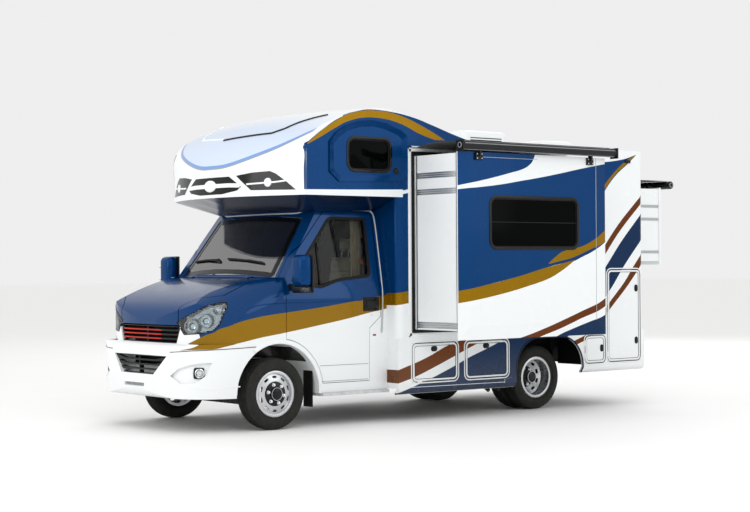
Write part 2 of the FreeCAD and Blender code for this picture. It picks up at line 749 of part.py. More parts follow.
def hand_hole(x, y0, y1):
    """Oval slot in a wheel disc, drawn from y0 to y1."""
    rise = hand_hole_length / 2
    body = block(x - hand_hole_radius, x + hand_hole_radius, y0, y1, tyre_radius - rise, tyre_radius + rise)
    ends = [rod((x, y0, tyre_radius + end), (x, y1, tyre_radius + end), hand_hole_radius)
            for end in (-rise, rise)]
    return fused([body] + ends)


def hub(x, y0, y1, radius, depth):
    """Hub with a blind bore for its spindle, its closed end at y1."""
    shell = rod((x, y0, tyre_radius), (x, y1, tyre_radius), radius)
    return shell.cut(rod((x, y0, tyre_radius), (x, y0 + depth, tyre_radius), spindle_radius + bearing_gap))


def make_wheels():
    """Single front wheels and twin rear wheels."""
    tyre = make_tyre(0, front_wheel_y)
    rim = make_rim(0, front_wheel_y, front_wheel_y + 62, front_wheel_y + 45)
    front_hub = hub(0, front_wheel_y - 20, front_wheel_y + 108, hub_radius, 90)
    rim = fused([rim, front_hub])
    twin = [make_tyre(-wheelbase, rear_wheel_y + offset) for offset in (-twin_pitch / 2, twin_pitch / 2)]
    inner_y, outer_y = rear_wheel_y - twin_pitch / 2, rear_wheel_y + twin_pitch / 2
    inset = rim_width / 2 - 15
    rims = [make_rim(-wheelbase, inner_y, rear_wheel_y - dish_wall, inner_y + inset - dish_wall),
            make_rim(-wheelbase, outer_y, rear_wheel_y, outer_y - inset)]
    rear_hub = hub(-wheelbase, rear_wheel_y - 130, rear_wheel_y + 130, hub_radius, 200)
    rims = fused(rims + [rear_hub])
    twin = Part.makeCompound(twin)
    for side in ("left", "right"):
        flip = mirrored if side == "right" else (lambda shape: shape)
        pieces["tyre_front_" + side] = flip(tyre)
        pieces["rim_front_" + side] = flip(rim)
        pieces["tyres_rear_" + side] = flip(twin)
        pieces["rims_rear_" + side] = flip(rims)


def house_form(inset):
    """House body as one closed solid with round upright corners."""
    half = house_half - inset
    body = block(house_rear + inset, house_front - inset, -half, half, 200, house_roof_z - inset)
    upright = [e for e in body.Edges if abs(e.tangentAt(e.FirstParameter).z) > 0.9]
    return body.makeFillet(corner_radius - inset, upright)


def slide_opening():
    """Hole in the left wall that the slide-out passes through."""
    return block(slide_rear - slide_gap, slide_front + slide_gap, house_half - 200, house_half + 50,
                 slide_low - slide_gap, slide_high + slide_gap)


def rear_opening():
    """Hole in the rear wall that the bed slide-out passes through."""
    half = rear_slide_half + slide_gap
    return block(house_rear - 50, house_rear + 200, -half, half, rear_slide_low - slide_gap, rear_slide_high + slide_gap)


def rounded_window(x0, x1, z0, z1, radius, y0, y1):
    """Window outline with round corners, drawn from y0 to y1."""
    body = block(x0, x1, y0, y1, z0, z1)
    across = [e for e in body.Edges if abs(e.tangentAt(e.FirstParameter).y) > 0.9]
    return body.makeFillet(radius, across)


def locker_space(locker, grow, depth):
    """Left locker's opening, grown by its gap, drawn inwards by depth."""
    x0, x1, z0, z1, hinge = locker
    return block(x0 + grow, x1 - grow, house_half - depth, house_half + 20, z0 - grow, z1 + grow)


def lockers_cut(shape, lockers):
    """The left shape without its locker openings."""
    for locker in lockers.values():
        shape = shape.cut(locker_space(locker, locker_gap, skirt_thick + wall))
    return shape


def make_house():
    """Floor, walls and roof of the house body, each a panel of its own."""
    form = house_form(0)
    skin = form.cut(house_form(wall))
    berth = block(house_front - corner_radius, house_front + 10, -1300, 1300, overcab_low, house_roof_z + 10)
    skin = skin.cut(berth)
    roof_low = house_roof_z - roof_thick
    inner_half = house_half - corner_radius
    middle = block(house_rear, house_front, -inner_half, inner_half, floor_low, roof_low)
    left = skin.common(block(house_rear, house_front, inner_half, house_half, floor_low, roof_low))
    right = mirrored(left)
    ends = skin.common(middle)
    front_wall = ends.common(block(house_front - 200, house_front, -1200, 1200, floor_low, overcab_low))
    walk_through = block(house_front - 200, house_front + 10, -560, 560, floor_high, 2080)
    pieces["house_wall_front"] = front_wall.cut(walk_through)
    rear_wall = ends.common(block(house_rear, house_rear + 200, -1200, 1200, floor_low, roof_low))
    rear_pads = [block(house_rear, house_rear + wall, y - 50, y + 50, rear_slide_low - slide_gap,
                       rear_slide_low - seat_gap) for y in (-500, 500)]
    rear_rail = block(house_rear - topper_rail_out, house_rear, -rear_slide_half, rear_slide_half,
                      topper_rail_rear_z - 12, topper_rail_rear_z + 12)
    pieces["house_wall_rear"] = fused([rear_wall.cut(rear_opening()), rear_rail] + rear_pads)
    left = lockers_cut(left.cut(slide_opening()), lockers_left)
    pads = [block(x - 50, x + 50, house_half - wall, house_half, slide_low - slide_gap, slide_low - seat_gap)
            for x in (slide_front - 300, slide_rear + 300)]
    rail = block(roller_rear + 60, roller_front - 30, house_half, house_half + topper_rail_out,
                 topper_rail_z - 12, topper_rail_z + 12)
    pieces["house_wall_left"] = fused([left, rail] + pads)
    entry = block(entry_rear - door_rear_gap, entry_front + door_gap, -house_half - 50, -house_half + 200,
                  entry_low - door_gap, entry_high + door_gap)
    right = right.cut(entry)
    for window in right_windows:
        right = right.cut(rounded_window(*window, window_radius, -house_half - 50, -house_half + 200))
    pieces["house_wall_right"] = right
    roof = form.common(block(house_rear, house_front, -1300, 1300, roof_low, house_roof_z)).cut(berth)
    pieces["house_roof"] = roof
    floor = house_form(wall).common(block(house_rear, house_front, -1300, 1300, floor_low, floor_high))
    tall = block(locker_rear_end - 33, locker_tall_front + 45, house_half - 483, house_half + 17,
                 floor_low - 5, floor_high + 5)
    floor = floor.cut(tall)
    pieces["house_floor"] = floor


def dome_section(y, inset):
    """Side view of the overcab at one distance from the centre plane."""
    bend = (y / house_half) ** 2
    reach = overcab_nose - inset
    top = inset
    points = [(reach - 313 * bend, overcab_low), (reach - 3 - 313 * bend, 2400), (reach - 17 - 298 * bend, 2530),
              (reach - 78 - 238 * bend, 2690 - top / 2), (reach - 295 - 140 * bend, 2887 - 30 * bend - top),
              (reach - 605 - 120 * bend, 3030 - 22 * bend - top), (-1060, 3148 - 25 * bend - top),
              (-1500, 3090 - 22 * bend - top), (-1897, 2975 - 18 * bend - top), (dome_tail + 3 * inset, house_roof_z)]
    rear = house_front - corner_radius
    outline = [points, [points[-1], (rear, house_roof_z)], [(rear, house_roof_z), (rear, overcab_low)],
               [(rear, overcab_low), points[0]]]
    return closed_wire([[V(x, y, z) for x, z in part] for part in outline])


def overcab_form(inset):
    """Overcab and dome as one closed solid, its skin moved in by inset."""
    half = house_half - inset
    stations = [half * share for share in (-1, -0.7, -0.35, 0, 0.35, 0.7, 1)]
    return Part.makeLoft([dome_section(y, inset) for y in stations], True, False)


def make_overcab():
    """Moulded front and roof cap, side cheeks and the floor under the berth."""
    skin = overcab_form(0).cut(overcab_form(overcab_wall))
    cheek_zone = block(overcab_seam, dome_tail - 10, house_half - overcab_wall, house_half, overcab_low, 3200)
    hole = rounded_window(*berth_window, window_radius, house_half - 100, house_half + 10)
    cheek = skin.common(cheek_zone).cut(hole)
    pieces["overcab_cheeks"] = both_sides(cheek)
    pieces["overcab_cap"] = skin.cut(cheek_zone).cut(mirrored(cheek_zone))
    wide = house_half - 18
    high = [(house_front, wide), (-205, wide), (-90, wide - 265), (38, wide - 665), (90, wide - 1015)]
    narrow = cab_half - 210
    low = [(house_front, narrow), (-520, narrow), (-455, narrow - 90), (-442, narrow - 390), (-440, narrow - 670)]
    wires = []
    for half, z in ((high, overcab_low), (low, 2100)):
        ring = [V(x, y, z) for x, y in half] + [V(x, -y, z) for x, y in reversed(half)]
        wires.append(polygon(ring))
    keel = Part.makeLoft(wires, True, True)
    pieces["overcab_floor"] = keel.cut(cab_form(0))
    glass = rounded_window(*berth_window, window_radius, house_half - 20, house_half - 20 + glass_thick)
    panes.extend([glass, mirrored(glass)])
    for window in right_windows:
        panes.append(rounded_window(*window, window_radius, -house_half + 12, -house_half + 12 + glass_thick))
    pieces["fixed_glass"] = Part.makeCompound(panes)


def skirt_form(x0, x1, low):
    """Left skirt panel between two stations, its lower edge rolled inwards."""
    half = house_half
    roll = skirt_roll
    outer = [[V(x0, half, floor_low), V(x0, half, low + roll)]]
    outer.append([V(x0, half, low + roll), V(x0, half - 16, low + 22), V(x0, half - roll, low)])
    t = skirt_thick
    inner = [[V(x0, half - roll, low), V(x0, half - roll, low + t)],
             [V(x0, half - roll, low + t), V(x0, half - 16 - t, low + 22 + t), V(x0, half - t, low + roll + t)],
             [V(x0, half - t, low + roll + t), V(x0, half - t, floor_low)],
             [V(x0, half - t, floor_low), V(x0, half, floor_low)]]
    return Part.Face(closed_wire(outer + inner)).extrude(V(x1 - x0, 0, 0))


def make_skirts():
    """Lower side panels with the rear arch, lockers, tubs and the rear panel."""
    arch = block(-wheelbase - rear_arch_half, -wheelbase + rear_arch_half, 900, 1300, 0, rear_arch_top)
    across = [e for e in arch.Edges if abs(e.tangentAt(e.FirstParameter).y) > 0.9 and e.CenterOfMass.z > 500]
    arch = arch.makeFillet(rear_arch_round, across)
    front_part = skirt_form(-wheelbase, house_front, sill_low)
    rear_part = skirt_form(house_rear, -wheelbase, rear_skirt_low)
    front_end = block(house_front - skirt_thick, house_front, cab_half, house_half - skirt_thick, sill_low + skirt_roll,
                      floor_low)
    skirt = fused([front_part, rear_part]).cut(arch)
    skirt = fused([skirt, front_end])
    pieces["skirt_left"] = lockers_cut(skirt, lockers_left)
    pieces["skirt_right"] = mirrored(lockers_cut(skirt, lockers_right))
    panel = block(house_rear, house_rear + skirt_thick, -house_half + skirt_thick, house_half - skirt_thick,
                  rear_skirt_low + skirt_roll + skirt_thick, floor_low)
    bar = block(house_rear - 35, house_rear, -1080, 1080, rear_skirt_low + 70, rear_skirt_low + 190)
    hole = block(house_rear - 100, house_rear + 100, -tow_spacing_y / 2 - 60, tow_spacing_y / 2 + 60,
                 rear_skirt_low - 10, tow_z + tow_spacing_z / 2 + 40)
    pieces["rear_bumper"] = fused([panel, bar]).cut(hole)


def make_lockers():
    """Locker doors on their hinges and the tubs behind them."""
    tubs = []
    groups = [(lockers_left, 1), (lockers_right, -1)]
    for lockers, side in groups:
        for name, locker in lockers.items():
            x0, x1, z0, z1, hinge = locker
            door = block(x0, x1, house_half - locker_thick, house_half, z0, z1)
            r = door_barrel_radius
            y = house_half + r + seat_gap
            if hinge == "low":
                z = z0 - locker_gap
                spots = [(x0 - 120, x0 - 60), (x1 + 60, x1 + 120)]
                barrels = [hinge_barrel((a, y, z), (b, y, z), r, block(a, b, house_half, house_half + 3, z, z + 25))
                           for a, b in spots]
            else:
                x = x0 + locker_gap
                spots = [(z0 + 50, z0 + 110), (z1 - 110, z1 - 50)]
                barrels = [hinge_barrel((x, y, a), (x, y, b), r, block(x, x - 25, house_half, house_half + 3, a, b))
                           for a, b in spots]
            door = fused([door] + barrels)
            outer = block(x0 + tub_wall + locker_gap, x1 - tub_wall - locker_gap, house_half - skirt_thick - tub_depth,
                          house_half - skirt_thick, z0 - tub_wall - locker_gap, max(z1 + tub_wall + locker_gap, floor_low))
            inner = block(x0 + locker_gap, x1 - locker_gap, house_half - skirt_thick - tub_depth + tub_wall,
                          house_half, z0 - locker_gap, z1 + locker_gap)
            tub = outer.cut(inner)
            tub = tub.cut(pieces["house_wall_left"])
            pieces[name] = door if side == 1 else mirrored(door)
            tubs.append(tub if side == 1 else mirrored(tub))
    pieces["locker_tubs"] = Part.makeCompound(tubs)


def face_wedges(x0, x1):
    """What the side slide's face loses along its foot and its two upright edges."""
    y, z = slide_out_y, face_low
    foot = [V(x0 - 1, y + 1, z + face_bevel), V(x0 - 1, y, z + face_bevel), V(x0 - 1, y - face_bevel_deep, z - 1),
            V(x0 - 1, y + 1, z - 1)]
    wedges = [Part.Face(polygon(foot)).extrude(V(x1 - x0 + 2, 0, 0))]
    for x, inwards in ((x0, 1), (x1, -1)):
        edge = [V(x + inwards * face_bevel, y + 1, z - 1), V(x + inwards * face_bevel, y, z - 1),
                V(x - inwards, y - face_bevel_deep, z - 1), V(x - inwards, y + 1, z - 1)]
        wedges.append(Part.Face(polygon(edge)).extrude(V(0, 0, slide_high + face_margin - z + 2)))
    return wedges


def make_slides():
    """Both slide-outs with their faces, windows and topper rollers."""
    outer = block(slide_rear, slide_front, slide_inner_y, slide_out_y - face_thick, slide_low, slide_high)
    inner = block(slide_rear + slide_wall, slide_front - slide_wall, slide_inner_y - 10, slide_out_y,
                  slide_low + slide_wall, slide_high - slide_wall)
    box = outer.cut(inner)
    face = block(slide_rear - face_margin, slide_front + face_margin, slide_out_y - face_thick, slide_out_y,
                 face_low, slide_high + face_margin)
    for wedge in face_wedges(slide_rear - face_margin, slide_front + face_margin):
        face = face.cut(wedge)
    hole = rounded_window(*slide_window, window_radius, slide_out_y - 100, slide_out_y + 10)
    pieces["side_slide_box"] = fused([box, face.cut(hole)])
    pieces["side_slide_window"] = rounded_window(*slide_window, window_radius, slide_out_y - 18,
                                                 slide_out_y - 18 + glass_thick)
    roller = rod((roller_front, roller_y, roller_z), (roller_rear, roller_y, roller_z), roller_radius)
    arms = []
    for x in (-1790, -3349):
        arms.append(block(x - 45, x + 45, slide_out_y, slide_out_y + 22, 2600, 2670))
        arms.append(block(x - 12, x + 12, slide_out_y, roller_y, 2640, roller_z))
    for x, out in ((roller_front, 1), (roller_rear, -1)):
        arms.append(block(x, x + out * 16, roller_y - 55, roller_y + 50, roller_z - 60, roller_z + 50))
    pieces["side_topper"] = fused([roller] + arms)

    half = rear_slide_half
    outer = block(rear_slide_x + face_thick, rear_slide_inner, -half, half, rear_slide_low, rear_slide_high)
    inner = block(rear_slide_x, rear_slide_inner + 10, slide_wall - half, half - slide_wall,
                  rear_slide_low + slide_wall, rear_slide_high - slide_wall)
    face = block(rear_slide_x, rear_slide_x + face_thick, -half - face_margin, half + face_margin,
                 rear_slide_low - 40, rear_slide_high + face_margin)
    pieces["rear_slide_box"] = fused([outer.cut(inner), face])
    roller = rod((rear_roller_x, -half - 20, rear_roller_z), (rear_roller_x, half + 20, rear_roller_z), roller_radius)
    arms = [roller]
    for y in (-700, 700):
        arms.append(block(rear_slide_x - 20, rear_slide_x, y - 45, y + 45, 2360, 2430))
        arms.append(block(rear_roller_x, rear_slide_x, y - 12, y + 12, 2395, rear_roller_z))
    pieces["rear_topper"] = fused(arms)

    rail_out = house_half + topper_rail_out
    sheet = side_sheet(rail_out, topper_rail_z, roller_y, roller_z + roller_radius + seat_gap)
    rear_rail_x = house_rear - topper_rail_out
    low = [(rear_rail_x, topper_rail_rear_z), (rear_roller_x, rear_roller_z + roller_radius + seat_gap)]
    high = [(x, z + fabric_thick) for x, z in reversed(low)]
    rear_sheet = side_polygon(low + high, -half + 20, half - 20)
    pieces["topper_fabrics"] = Part.makeCompound([sheet, rear_sheet])


def side_sheet(y0, z0, y1, z1):
    """Thin sheet from the wall rail to the top of the side roller."""
    points = [V(roller_front - 40, y0, z0), V(roller_front - 40, y1, z1),
              V(roller_front - 40, y1, z1 + fabric_thick), V(roller_front - 40, y0, z0 + fabric_thick)]
    return Part.Face(polygon(points)).extrude(V(roller_rear - roller_front + 80, 0, 0))


def make_entry():
    """Entry door in the right wall, hinged at its front edge."""
    door = block(entry_rear, entry_front, -house_half, -house_half + wall, entry_low, entry_high)
    r = door_barrel_radius
    x, y = entry_front + door_gap / 2, -house_half - r - seat_gap
    barrels = [hinge_barrel((x, y, z), (x, y, z + 60), r, block(x, x - 25, -house_half - 3, -house_half, z, z + 60))
               for z in (entry_low + 150, entry_high - 210)]
    pieces["entry_door"] = fused([door] + barrels)


def make_interior():
    """Dashboard with steering wheel, and two seats."""
    outline = [(-110, 1000), (-110, 1400), (-260, 1425), (-400, 1370), (-440, 1250), (-400, 1120), (-250, 1000)]
    dash = side_polygon(outline, 140 - cab_half, cab_half - 140)
    wheel = V(-590, seat_y, 1305)
    column = rod((-340, seat_y, 1210), tuple(wheel), 26)
    ring = Part.makeTorus(205, 17, wheel, V(-250, 0, 95))
    spoke = rod((wheel.x, seat_y - 195, wheel.z), (wheel.x, seat_y + 195, wheel.z), 13)
    pieces["dashboard"] = fused([dash, column, ring, spoke])
    seats = []
    for y in (seat_y, -seat_y):
        base = block(-1180, -700, y - 190, y + 190, cab_floor_high, 930)
        cushion = block(-1190, -680, y - 250, y + 250, 930, 1070)
        back = side_polygon([(-1080, 1040), (-1200, 1700), (-1320, 1700), (-1215, 1040)], y - 245, y + 245)
        head = side_polygon([(-1215, 1690), (-1240, 1880), (-1310, 1880), (-1300, 1690)], y - 130, y + 130)
        seats.append(fused([base, cushion, back, head]))
    pieces["cab_seats"] = Part.makeCompound(seats)


def make_extras():
    """Running boards, mudflaps and roof units."""
    pieces["running_boards"] = both_sides(block(cab_rear, -500, cab_half - 200, cab_half + 35, cab_bottom - 30, cab_bottom))
    flap = block(-443, -435, cab_half - 200, cab_half - cab_skin, 195, 600)
    flap = flap.common(arch_cut(arch_radius, cab_half - 300, cab_half + 100))
    rear_flap = block(rear_flap_x - 4, rear_flap_x + 4, rear_wheel_y - 210, bearer_half, 180, rail_high)
    pieces["mudflaps"] = Part.makeCompound([flap, mirrored(flap), rear_flap, mirrored(rear_flap)])
    cooler = block(house_rear + 1290, house_rear + 1940, -320, 320, house_roof_z, cooler_top)
    cooler = cooler.makeFillet(60, [e for e in cooler.Edges if e.CenterOfMass.z > house_roof_z + 5])
    vent = block(house_rear + 300, house_rear + 780, -150, 380, house_roof_z, vent_top)
    vent = vent.makeFillet(40, [e for e in vent.Edges if e.CenterOfMass.z > house_roof_z + 5])
    pieces["roof_units"] = Part.makeCompound([cooler, vent])


def overall_centre():
    """Middle of the whole box in X and Y, from the pieces that reach furthest."""
    front = cab_front
    rear = rear_roller_x - roller_radius
    left = roller_y + 50
    right = -mirror_out_y
    return (front + rear) / 2, (left + right) / 2


def export():
    """Writes each piece with the origin under the centre of the whole box."""
    os.makedirs("parts", exist_ok=True)
    x, y = overall_centre()
    for name, shape in pieces.items():
        placed = shape.copy()
        placed.translate(V(-x, -y, 0))
        placed.exportStep("parts/" + name + ".step")


def main():
    """Makes every piece and exports it."""
    make_cab()
    make_chassis()
    make_axles()
    make_underbody()
    make_wheels()
    make_house()
    make_overcab()
    make_skirts()
    make_lockers()
    make_slides()
    make_entry()
    make_interior()
    make_extras()
    export()


if __name__ == "__main__":
    main()
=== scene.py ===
import bmesh
import bpy
import math
from mathutils import Matrix, Vector
from mathutils.bvhtree import BVHTree


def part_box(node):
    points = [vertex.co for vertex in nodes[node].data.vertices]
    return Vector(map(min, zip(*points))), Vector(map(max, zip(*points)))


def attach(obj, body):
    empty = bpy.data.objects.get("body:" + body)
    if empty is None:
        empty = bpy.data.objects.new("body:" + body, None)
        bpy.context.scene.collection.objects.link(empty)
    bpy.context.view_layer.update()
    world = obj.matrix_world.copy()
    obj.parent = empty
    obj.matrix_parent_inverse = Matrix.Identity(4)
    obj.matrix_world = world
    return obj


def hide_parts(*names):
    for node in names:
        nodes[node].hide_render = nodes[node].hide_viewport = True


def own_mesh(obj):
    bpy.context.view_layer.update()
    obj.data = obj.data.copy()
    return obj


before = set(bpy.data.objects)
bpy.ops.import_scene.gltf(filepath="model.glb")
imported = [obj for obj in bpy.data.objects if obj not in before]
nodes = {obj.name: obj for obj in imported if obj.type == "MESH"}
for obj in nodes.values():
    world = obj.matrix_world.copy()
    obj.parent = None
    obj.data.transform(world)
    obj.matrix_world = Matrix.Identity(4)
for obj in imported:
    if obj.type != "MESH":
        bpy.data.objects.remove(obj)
for spare in ("Cube", "Light", "Camera"):
    if spare in bpy.data.objects:
        bpy.data.objects.remove(bpy.data.objects[spare])
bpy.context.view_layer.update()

# Places are drawn in metres from the front axle, the centre plane and the ground,
# as the part is, and move to the frame by this step.
tyre_low, tyre_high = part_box("tyre_front_left")
front_x = (tyre_low.x + tyre_high.x) / 2
mid_y = (tyre_high.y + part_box("tyre_front_right")[0].y) / 2
to_frame = Matrix.Translation((front_x, mid_y, 0))

wheelbase = 3.450
axle_z = 0.346
house_half = 1.183
inner_face_y = 1.148
front_wheel_y = 0.863
rear_wheel_y = 0.770
twin_gap = 0.113
half_rim = 0.076
bolt_circle = 0.092
slide_face_y = 1.870
cab_rear = -1.46
seat_y = 0.44
SIDES = ((1, "left"), (-1, "right"))
SIDEWAYS = Vector((0, -1, 0))
BACKWARDS = Vector((-1, 0, 0))
FAR_OUT = 2.5  # Lines that look for a surface start this far outside.
WELD = 1e-5  # Points nearer than this become one.


def drawn(text):
    """Points or rows of sizes, written in millimetres with commas between them."""
    return [tuple(float(number) / 1000 for number in row.split()) for row in text.split(",")]


# ---------------------------------------------------------------- materials

def linear(hex_colour):
    """Linear colour from an sRGB hex value."""
    parts = [int(hex_colour[i:i + 2], 16) / 255 for i in (1, 3, 5)]
    return tuple(c / 12.92 if c <= 0.04045 else ((c + 0.055) / 1.055) ** 2.4 for c in parts) + (1.0,)


def add(tree, kind, settings=None, links=None):
    """Adds a node, sets it up and links its inputs to values or to other nodes."""
    node = tree.nodes.new("ShaderNode" + kind)
    for name, value in (settings or {}).items():
        setattr(node, name, value)
    for key, value in (links or {}).items():
        if isinstance(value, bpy.types.Node):
            value = value.outputs[0]
        if isinstance(value, bpy.types.NodeSocket):
            tree.links.new(value, node.inputs[key])
        else:
            node.inputs[key].default_value = value
    return node


def blank(name):
    """A new material with an empty tree."""
    material = bpy.data.materials.new(name)
    material.use_nodes = True
    material.node_tree.nodes.clear()
    return material, material.node_tree


def calc(tree, operation, *values):
    """Maths on one to three values."""
    return add(tree, "Math", {"operation": operation}, dict(enumerate(values)))


def mapped(tree, *values):
    """A value carried from one range to another."""
    return add(tree, "MapRange", {}, dict(enumerate(values)))


def mixed(tree, share, first, second, blend="MIX"):
    """Two colours mixed."""
    return add(tree, "Mix", {"data_type": "RGBA", "blend_type": blend}, {0: share, 6: first, 7: second}).outputs[2]


def here(tree):
    """Place on the object."""
    return add(tree, "TexCoord").outputs["Object"]


def grain(tree, millimetres, low, high, detail=3.0):
    """Soft random pattern of that size, from low to high."""
    cloud = add(tree, "TexNoise", {}, {"Vector": here(tree), "Scale": 1000 / millimetres, "Detail": detail,
                                       "Roughness": 0.55})
    return mapped(tree, cloud, 0.3, 0.7, low, high)


def patchy(tree, colour, share, millimetres, low, high):
    """Colour that is a little darker and lighter in patches."""
    tone = grain(tree, millimetres, low, high)
    return mixed(tree, share, colour, add(tree, "CombineXYZ", {}, {0: tone, 1: tone, 2: tone}), "MULTIPLY")


def surface(tree, values, bump=None, bump_mm=0.0):
    """Shader and output, with a bump of so many millimetres if a height is given."""
    if bump is not None:
        bump = add(tree, "Bump", {}, {"Strength": 1.0, "Distance": bump_mm / 1000, "Height": bump})
        values = dict(values, Normal=bump)
    add(tree, "OutputMaterial", {}, {"Surface": add(tree, "BsdfPrincipled", {}, values)})


def height_line(tree, along, points):
    """Height of a drawn line at each place along the vehicle."""
    points = sorted(points)
    starts, ends = points[0][0], points[-1][0]
    low = min(z for x, z in points)
    high = max(max(z for x, z in points), low + 0.001)
    line = add(tree, "FloatCurve", {}, {1: mapped(tree, along, starts, ends)})
    curve = line.mapping.curves[0]
    curve.points[0].location = (0, (points[0][1] - low) / (high - low))
    curve.points[1].location = (1, (points[-1][1] - low) / (high - low))
    for x, z in points[1:-1]:
        curve.points.new((x - starts) / (ends - starts), (z - low) / (high - low))
    for point in curve.points:
        point.handle_type = "AUTO_CLAMPED"
    line.mapping.update()
    return mapped(tree, line, 0.0, 1.0, low, high)


def both(tree, *masks):
    """1 where all the masks are 1."""
    shared = masks[0]
    for mask in masks[1:]:
        shared = calc(tree, "MULTIPLY", shared, mask)
    return shared


def stripe(tree, x, z, upper, lower):
    """1 between two drawn lines, over the length that both have, and 0 elsewhere."""
    starts = max(min(upper)[0], min(lower)[0])
    ends = min(max(upper)[0], max(lower)[0])
    return both(tree, calc(tree, "LESS_THAN", z, height_line(tree, x, upper)),
                calc(tree, "GREATER_THAN", z, height_line(tree, x, lower)),
                calc(tree, "COMPARE", x, (starts + ends) / 2, (ends - starts) / 2))


WHITE, BLUE, NAVY, GOLD, BROWN = "#eef1f2", "#00396e", "#102d50", "#936c00", "#66340f"

# Colour, metal share, and the upper and lower line (x z) of each sweep on the house's sides.
SIDE_SWEEPS = [
    (BLUE, 0.35,
     """-1320 2900, -2575 2900""",
     """-1330 2302, -1552 2347, -1882 2409, -2220 2484, -2400 2529, -2498 2578, -2554 2645, -2575 2700"""),
    (BLUE, 0.35,
     """-1320 2262, -1551 2308, -1815 2334, -2083 2365, -2357 2407, -2637 2450, -2923 2500, -3215 2555, -3559 2613,
        -4000 2668, -4561 2732, -4824 2798""",
     """-1320 1280, -1569 1316, -1940 1379, -2349 1455, -2700 1533, -2943 1578, -3104 1598, -3236 1644, -3355 1685,
        -3475 1737, -3566 1780, -4050 2105, -4494 2560, -4691 2695, -4824 2795"""),
    (GOLD, 0.55,
     """-1320 1290, -1472 1311, -1569 1320, -1940 1379, -2349 1455, -2700 1533, -2943 1578, -3133 1613""",
     """-1320 1169, -1471 1190, -1568 1200, -2073 1274, -2487 1358, -2741 1421, -2914 1491, -3133 1610"""),
    (GOLD, 0.55,
     """-2757 1584, -2858 1650, -2959 1701, -3134 1732, -3282 1768, -3431 1831, -3568 1905, -4050 2215, -4478 2600,
        -4642 2715, -4815 2800""",
     """-2757 1573, -2915 1603, -3060 1629, -3207 1670, -3356 1722, -3566 1790, -4050 2120, -4494 2573, -4691 2703,
        -4815 2790"""),
    (BROWN, 0.4,
     """-1320 522, -1677 628, -2041 766, -2440 851, -2694 919, -2909 984, -3201 1075, -3591 1208, -4050 1525, -4554
        2038, -4802 2255, -4960 2390""",
     """-1320 390, -1544 447, -1743 514, -2054 628, -2288 717, -2637 834, -2908 908, -3201 1003, -3590 1124, -4050
        1425, -4586 1971, -4960 2300"""),
    (NAVY, 0.4,
     """-1320 290, -1543 357, -1742 418, -2094 544, -2287 619, -2526 698, -2711 764, -2950 860, -3126 912, -3348
        973, -3589 1035, -4050 1300, -4634 1882, -4960 2190""",
     """-1320 100, -3150 100, -3300 460, -3597 718, -4000 930, -4385 1280, -4614 1546, -4960 1900"""),
    (BROWN, 0.4,
     """-3450 610, -3612 680, -3858 748, -4062 830, -4367 1136, -4629 1378, -4762 1534, -4960 1745""",
     """-3450 540, -3672 629, -3858 693, -4061 770, -4383 1069, -4678 1332, -4960 1625""")]
CHEEK_SWEEPS = [
    (BLUE, 0.35,
     """-150 2700, -219 2753, -400 2882, -613 3006, -800 3074, -1024 3106, -1250 3095, -1499 3061, -1800 2985, -2100
        2900, -2330 2840, -2420 2815""",
     """-150 2200, -2420 2199"""),
    (GOLD, 0.55,
     """-219 2742, -370 2859, -552 2969, -736 3051, -923 3092, -1024 3098, -1176 3094, -1369 3064, -1630 2982, -1896
        2873, -2010 2820""",
     """-219 2733, -370 2806, -551 2901, -736 2983, -923 3022, -1023 3027, -1176 3020, -1368 2984, -1629 2891, -1829
        2839, -2010 2800"""),
    (WHITE, 0.0,
     """-150 2300, -731 2310, -1467 2328, -2420 2350""",
     """-150 2200, -2420 2199""")]
CAB_GOLD_TOP = drawn("""
    -1340 1274, -1092 1241, -865 1210, -495 1163, -64 1120, 99 1104, 272 1080, 433 1046, 527 1011, 612 984, 664
    947, 710 928, 745 900, 905 790, 1000 780""")
CAB_GOLD_LOW = drawn("""
    -1340 1137, -1091 1096, -864 1052, -494 993, -63 928, 216 890, 435 849, 591 817, 696 796, 822 792, 905 786,
    1000 779""")
CAB_BLUE_LOW = CAB_GOLD_TOP[:-2] + drawn("752 940, 760 990, 1000 1000")


def coats(tree, x, z, sweeps, *masks):
    """Masked coats from a table of sweeps."""
    return [(both(tree, stripe(tree, x, z, drawn(upper), drawn(lower)), *masks), colour, metal)
            for colour, metal, upper, lower in sweeps]


def side_graphics(tree, x, y, z):
    """Blue fields, gold, brown and navy sweeps on the sides, and dark board on the inner faces."""
    normal = add(tree, "SeparateXYZ", {}, {0: add(tree, "TexCoord").outputs["Normal"]})
    sideways = calc(tree, "GREATER_THAN", calc(tree, "ABSOLUTE", normal.outputs[1]), 0.35)
    shown = calc(tree, "MAXIMUM", sideways, calc(tree, "GREATER_THAN", x, cab_rear))
    held = add(tree, "Clamp", {}, {0: x, 1: -4.959, 2: -1.321})
    inside = both(tree, calc(tree, "LESS_THAN", calc(tree, "ABSOLUTE", y), inner_face_y),
                  calc(tree, "COMPARE", x, -3.133, 1.772), calc(tree, "COMPARE", z, 1.820, 0.980))
    return coats(tree, held, z, SIDE_SWEEPS, shown) + [(inside, "#4a3828", 0.0)]


